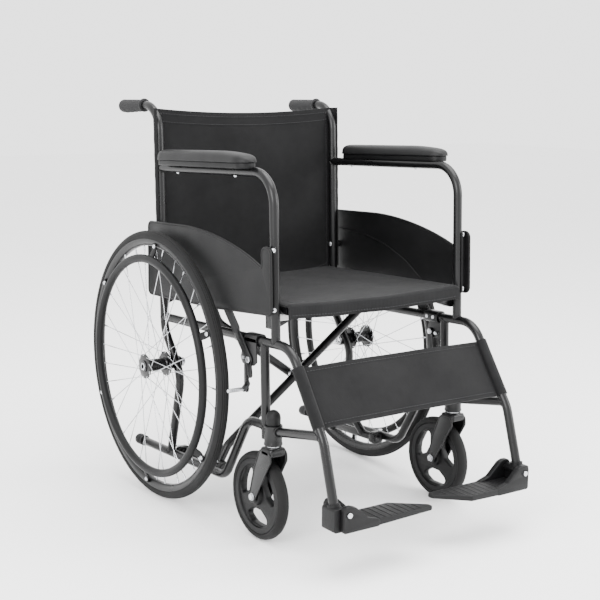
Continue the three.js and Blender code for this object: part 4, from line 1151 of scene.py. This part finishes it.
def build_footplate_clamp():
    half = 0.021
    xs = (SIDE - 0.014, SIDE + 0.014)
    outline = rounded(
        [
            (xs[0], HINGE.z - 0.036), (xs[1], HINGE.z - 0.036), (xs[1], HINGE.z + 0.01),
            (xs[0], HINGE.z + 0.01)
        ],
        0.005, True
    )
    body = plate(
        "body", [outline, circle((HINGE.x, HINGE.z), 0.0056, 24)], 2 * half, "front", HINGE.y,
        0.0015
    )
    to_floor = STANDING.inverted() @ LEANING
    foot = to_floor @ side(-0.6015, -0.183)
    shin = to_floor @ side(-0.571, -0.066)
    along = (foot - shin).normalized()
    collar = tube("collar", [foot - along * 0.005, foot + along * 0.012], 0.01, 0.0128)
    lip = weld("lip", foot - along * 0.0045, along, Vector((1, 0, 0)), 0.0118, 0.0001, 0.0011)
    clamp = join("clamp", body, collar, lip)
    settle_pair(clamp, "footplate_clamp_block", "frame", MOULDING, ["footplate_clamp"], STANDING)
    bolt = [pin("shaft", "y", 0.005, HINGE.y - 0.0375, HINGE.y + 0.0375, HINGE, 28)]
    for way in (-1, 1):
        start, end = HINGE.y + way * 0.0343, HINGE.y + way * 0.0378
        bolt.append(pin("head", "y", 0.0056, start, end, HINGE, 28, 0.0015))
    settle_pair(
        join("bolt", *bolt), "footplate_hinge_bolt", "frame", STEEL, ["footplate_pin"], STANDING
    )


# ------------------------------------------------------------------ cross brace


def build_brace(name, way, y):
    """One strut with its pivot sleeve at the bottom and the seat rail on its far end."""
    corners = [
        (way * BRACE_X, y, PIVOT_Z), (way * 0.186, y, -0.1695),
        (-way * 0.186, y, 0.0995), (-way * BRACE_X, y, SEAT_RAIL_Z),
    ]
    strut = tube("strut", corners, 0.04)
    sleeve = pin("sleeve", "y", TUBE, -0.165, 0.015, (way * BRACE_X, 0, PIVOT_Z), 40, 0.0008)
    rail = pin("rail", "y", TUBE, -0.428, 0.06, (-way * BRACE_X, 0, SEAT_RAIL_Z), 40, 0.0012)
    beads = [
        weld("bead", (way * BRACE_X, y, PIVOT_Z), (-way * 0.027, 0, 0.0435), (0, 1, 0)),
        weld("bead", (-way * BRACE_X, y, SEAT_RAIL_Z), (way * 0.027, 0, -0.0665), (0, 1, 0)),
    ]
    part = join("brace", strut, sleeve, rail, *beads)
    settle(part, f"{name}_strut_and_rail", name, PAINT, [name])


def build_centre_bolt():
    at = (0, 0, -0.035)
    parts = [pin("shaft", "y", 0.004, -0.1535, -0.0965, at, 28)]
    parts.append(pin("head", "y", 0.008, -0.1538, -0.1488, at, 6, 0.0008))
    parts.append(pin("nut", "y", 0.008, -0.1012, -0.0962, at, 6, 0.0008))
    parts.append(pin("washer", "y", 0.0098, -0.1292, -0.1208, at, 40, 0.0008))
    settle(join("bolt", *parts), "brace_centre_bolt", "brace_a", STEEL, ["brace_pivot_bolt"])


# ------------------------------------------------------------------ cloth


def cloth_grid(name, across, along, shape):
    """A fine grid whose points are put in place by shape(u, v), u and v from -1 to 1."""
    bpy.ops.mesh.primitive_grid_add(
        x_subdivisions=across, y_subdivisions=along, size=2, location=(0, 0, 0)
    )
    obj = bpy.context.object
    obj.name = name
    for vertex in obj.data.vertices:
        vertex.co = shape(vertex.co.x, vertex.co.y)
    return obj


def thicken(obj, thickness):
    tidy_shell(obj, 1e-6)
    apply(obj, "SOLIDIFY", thickness=thickness, offset=0, use_even_offset=False)
    return smooth(obj, 50)


def seam(points, radius=0.0007, dash=0.0045, gap=0.0025):
    """A row of stitches along a line."""
    stitches = []
    travelled, turn = 0.0, []
    for a, b in zip(points, points[1:]):
        steps = max(1, round((b - a).length / 0.0007))
        for k in range(steps):
            place = travelled % (dash + gap)
            if place < dash:
                turn.append(a.lerp(b, k / steps))
            elif len(turn) > 1:
                stitches.append(turn)
                turn = []
            else:
                turn = []
            travelled += (b - a).length / steps
    pieces = [
        drawn("stitch", [run[0], run[len(run) // 2], run[-1]], radius, detail=1)
        for run in stitches
    ]
    return smooth(join("seam", *pieces), 60)


SEAT_BACK, SEAT_FRONT, SEAT_TOP, HEM, HEM_BEND = 0.035, -0.4375, 0.179, 0.021, 0.006


def seat_shape(u, v):
    """Level from the back edge to the front one, where a hem turns down over the rail ends."""
    level = SEAT_BACK - SEAT_FRONT - HEM_BEND
    bend = HEM_BEND * math.pi / 2
    travelled = (1 - v) / 2 * (level + bend + HEM)
    sag = 0.009 * (1 - u * u) * (0.65 + 0.35 * math.sin(math.pi * min(travelled / level, 1)))
    ripple = 0.0006 * math.sin(9 * u + 3 * v) * (1 - u * u)
    roll = 0.0035 * max(0.0, (abs(u) - 0.965) / 0.035) ** 2
    turn = min(max((travelled - level) / HEM_BEND, 0), math.pi / 2)
    y = SEAT_BACK - min(travelled, level) - HEM_BEND * math.sin(turn)
    drop = HEM_BEND * (1 - math.cos(turn)) + max(travelled - level - bend, 0)
    return Vector((u * 0.2225, y, SEAT_TOP - sag - roll + ripple - drop))


def build_seat():
    seat = thicken(cloth_grid("seat", 90, 160, seat_shape), 0.005)
    lines = []
    for v, lift in ((-0.975, Vector((0, -0.0028, 0))), (-0.83, Vector((0, 0, 0.0028)))):
        lines.append([seat_shape(u / 60, v) + lift for u in range(-58, 59)])
    for u in (-0.9, 0.9):
        lines.append([seat_shape(u, v / 60) + Vector((0, 0, 0.0028)) for v in range(-50, 59)])
    stitching = join("stitching", *[seam(line) for line in lines])
    for each, name, finish in (
        (seat, "seat_sling_cloth", LEVEL_CLOTH), (stitching, "seat_sling_stitching", THREAD)
    ):
        each.name = each.data.name = name
        each.data.materials.clear()
        each.data.materials.append(finish)
        each.data.transform(LEANING)
        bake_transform(each)
    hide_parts("seat_sling")


BACK_BOTTOM, BACK_TOP, CANE_Y, SLEEVE = 0.18, 0.566, 0.038, 0.0118


def back_shape(u, v):
    """A panel drawn tight behind the canes, bellied back a little between them."""
    top = BACK_TOP - 0.011 * (1 - u * u)
    bottom = BACK_BOTTOM - 0.02 * (1 - u**8)
    z = bottom + (top - bottom) * (v + 1) / 2
    belly = 0.007 * (1 - u * u) * (1 - 0.3 * v * v)
    crease = 0.0011 * math.sin(
        7 * v + 4 * u
    ) * (1 - u * u) + 0.0007 * math.sin(17 * u) * (1 - v * v)
    return Vector((u * SIDE * -1, CANE_Y + SLEEVE + belly + crease, z))


def sleeve_shape(u, v):
    """The panel's edge, wrapped round the back and outer side of its cane."""
    turn = math.radians(-6 + 66 * (u + 1))
    z = (BACK_BOTTOM + BACK_TOP) / 2 + v * (BACK_TOP - BACK_BOTTOM) / 2
    radius = SLEEVE + 0.0002 * math.sin(31 * v)
    return Vector((SIDE - radius * math.sin(turn), CANE_Y + radius * math.cos(turn), z))


def build_back():
    panel = thicken(cloth_grid("back", 90, 90, back_shape), 0.003)
    lines = []
    for inset in (0.01, 0.028):
        v = 1 - inset / 0.2
        lines.append([back_shape(u / 60, v) + Vector((0, -0.0023, 0)) for u in range(-58, 59)])
    for u in (-0.95, 0.95):
        lines.append([back_shape(u, v / 60) + Vector((0, -0.0023, 0)) for v in range(-58, 59)])
    lines.append([back_shape(u / 60, -0.93) + Vector((0, -0.0023, 0)) for u in range(-58, 59)])
    stitching = join("stitching", *[seam(line) for line in lines])
    settle(panel, "back_sling_cloth", "right_frame", UPRIGHT_CLOTH, ["back_sling"])
    settle(stitching, "back_sling_stitching", "right_frame", THREAD)
    sleeve = thicken(cloth_grid("sleeve", 24, 60, sleeve_shape), 0.0026)
    sleeves = settle_pair(sleeve, "back_sling_sleeve", "frame", UPRIGHT_CLOTH)
    for each in (panel, stitching):
        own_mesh(each)


def calf_shape(u, v):
    knee, shin = SHIN
    z = 0.011 + 0.053 * v
    share = (z - knee.z) / (shin.z - knee.z)
    y = knee.y + (shin.y - knee.y) * share
    lean = (shin - knee).normalized()
    out = Vector((0, lean.z, -lean.y))
    bow = 0.006 * (1 - u * u)
    crease = 0.0008 * math.sin(8 * u + 2 * v)
    return Vector((u * 0.2285, y, z)) - out * (0.003 - bow + crease)


def build_calf_strap():
    panel = thicken(cloth_grid("calf", 90, 24, calf_shape), 0.004)
    lines = []
    for v in (-0.86, 0.86):
        lines.append(
            [calf_shape(u / 60, v) + Vector((0, -0.0021, 0.0014)) for u in range(-58, 59)]
        )
    stitching = join("stitching", *[seam(line) for line in lines])
    settle(panel, "calf_strap_cloth", "right_frame", UPRIGHT_CLOTH, ["calf_strap"])
    settle(stitching, "calf_strap_stitching", "right_frame", THREAD)
    knee, shin = SHIN
    lean = (shin - knee).normalized()
    middle = knee.lerp(shin, (0.011 - knee.z) / (shin.z - knee.z))
    loop = tube("loop", [middle - lean * 0.0627, middle + lean * 0.0627], 0.01, 0.0122)
    loops = settle_pair(loop, "calf_strap_loop", "frame", UPRIGHT_CLOTH)
    for each in (panel, stitching):
        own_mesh(each)


# ------------------------------------------------------------------ studio


def build_camera():
    turn, tilt, roll = math.radians(-35.02), math.radians(10.11), math.radians(0.60)
    right = Vector((math.cos(turn), math.sin(turn), 0))
    ahead = Vector(
        (-math.sin(turn) * math.cos(tilt), math.cos(turn) * math.cos(tilt), -math.sin(tilt))
    )
    up = right.cross(ahead)
    level = right * math.cos(roll) + up * math.sin(roll)
    upright = up * math.cos(roll) - right * math.sin(roll)
    data = bpy.data.cameras.new("camera")
    data.lens, data.sensor_width, data.shift_x = 73.68, 36, 0.0053
    camera = bpy.data.objects.new("camera", data)
    bpy.context.collection.objects.link(camera)
    place = Matrix((level, upright, -ahead)).transposed().to_4x4()
    place.translation = (-1.5617, -2.1948, 0.9266)
    camera.matrix_world = place
    bpy.context.scene.camera = camera


def add_lamp(name, place, target, size, power):
    data = bpy.data.lights.new(name, "AREA")
    data.shape, data.size, data.energy = "DISK", size, power
    lamp = bpy.data.objects.new(name, data)
    bpy.context.collection.objects.link(lamp)
    lamp.location = place
    lamp.rotation_euler = (Vector(target) - Vector(place)).to_track_quat("-Z", "Y").to_euler()


def build_studio():
    bpy.ops.mesh.primitive_plane_add(size=24, location=(0, 0, 0))
    floor = bpy.context.object
    floor.name = "studio_floor"
    finish, tree, shader = start_finish("pale_floor", Roughness=0.9)
    place = add_node(tree, "TexCoord").outputs["Object"]
    cloud = add_node(tree, "TexNoise", None, {"Vector": place, "Scale": 1.5})
    colour_between(tree, shader, cloud.outputs[0], (0.95, 0.95, 0.95), (0.97, 0.97, 0.97))
    floor.data.materials.append(finish)
    world = bpy.data.worlds.new("studio_air")
    world.use_nodes = True
    world.node_tree.nodes["Background"].inputs["Color"].default_value = (1, 1, 1, 1)
    world.node_tree.nodes["Background"].inputs["Strength"].default_value = 2.6
    bpy.context.scene.world = world
    add_lamp("overhead_softbox", (0.2, -0.4, 3.0), (0, 0, 0.4), 2.6, 130)
    add_lamp("left_softbox", (-2.8, -1.6, 1.9), (0, 0, 0.5), 1.8, 110)
    add_lamp("right_softbox", (2.4, -2.4, 1.6), (0, 0, 0.5), 1.6, 80)


# ------------------------------------------------------------------ the whole chair

for build in (
    build_back_cane,
    build_arm_tube,
    build_top_rail,
    build_lower_rail,
    build_front_post,
    build_push_grip,
    build_arm_pad,
    build_skirt_guard,
    build_tip_cap,
    build_seat_guides,
    build_brake_bracket,
    build_brake_lever,
    build_brake_shoe,
    build_wheel_axle,
    build_tyre,
    build_rim,
    build_hub,
    build_spokes,
    build_hand_rim,
    build_caster_wheel,
    build_caster_fork,
    build_footplates,
    build_footplate_clamp,
    build_centre_bolt,
    build_seat,
    build_back,
    build_calf_strap,
):
    build()
for brace, (way, layer) in BRACE_LAYERS.items():
    build_brace(brace, way, layer)
build_camera()
build_studio()
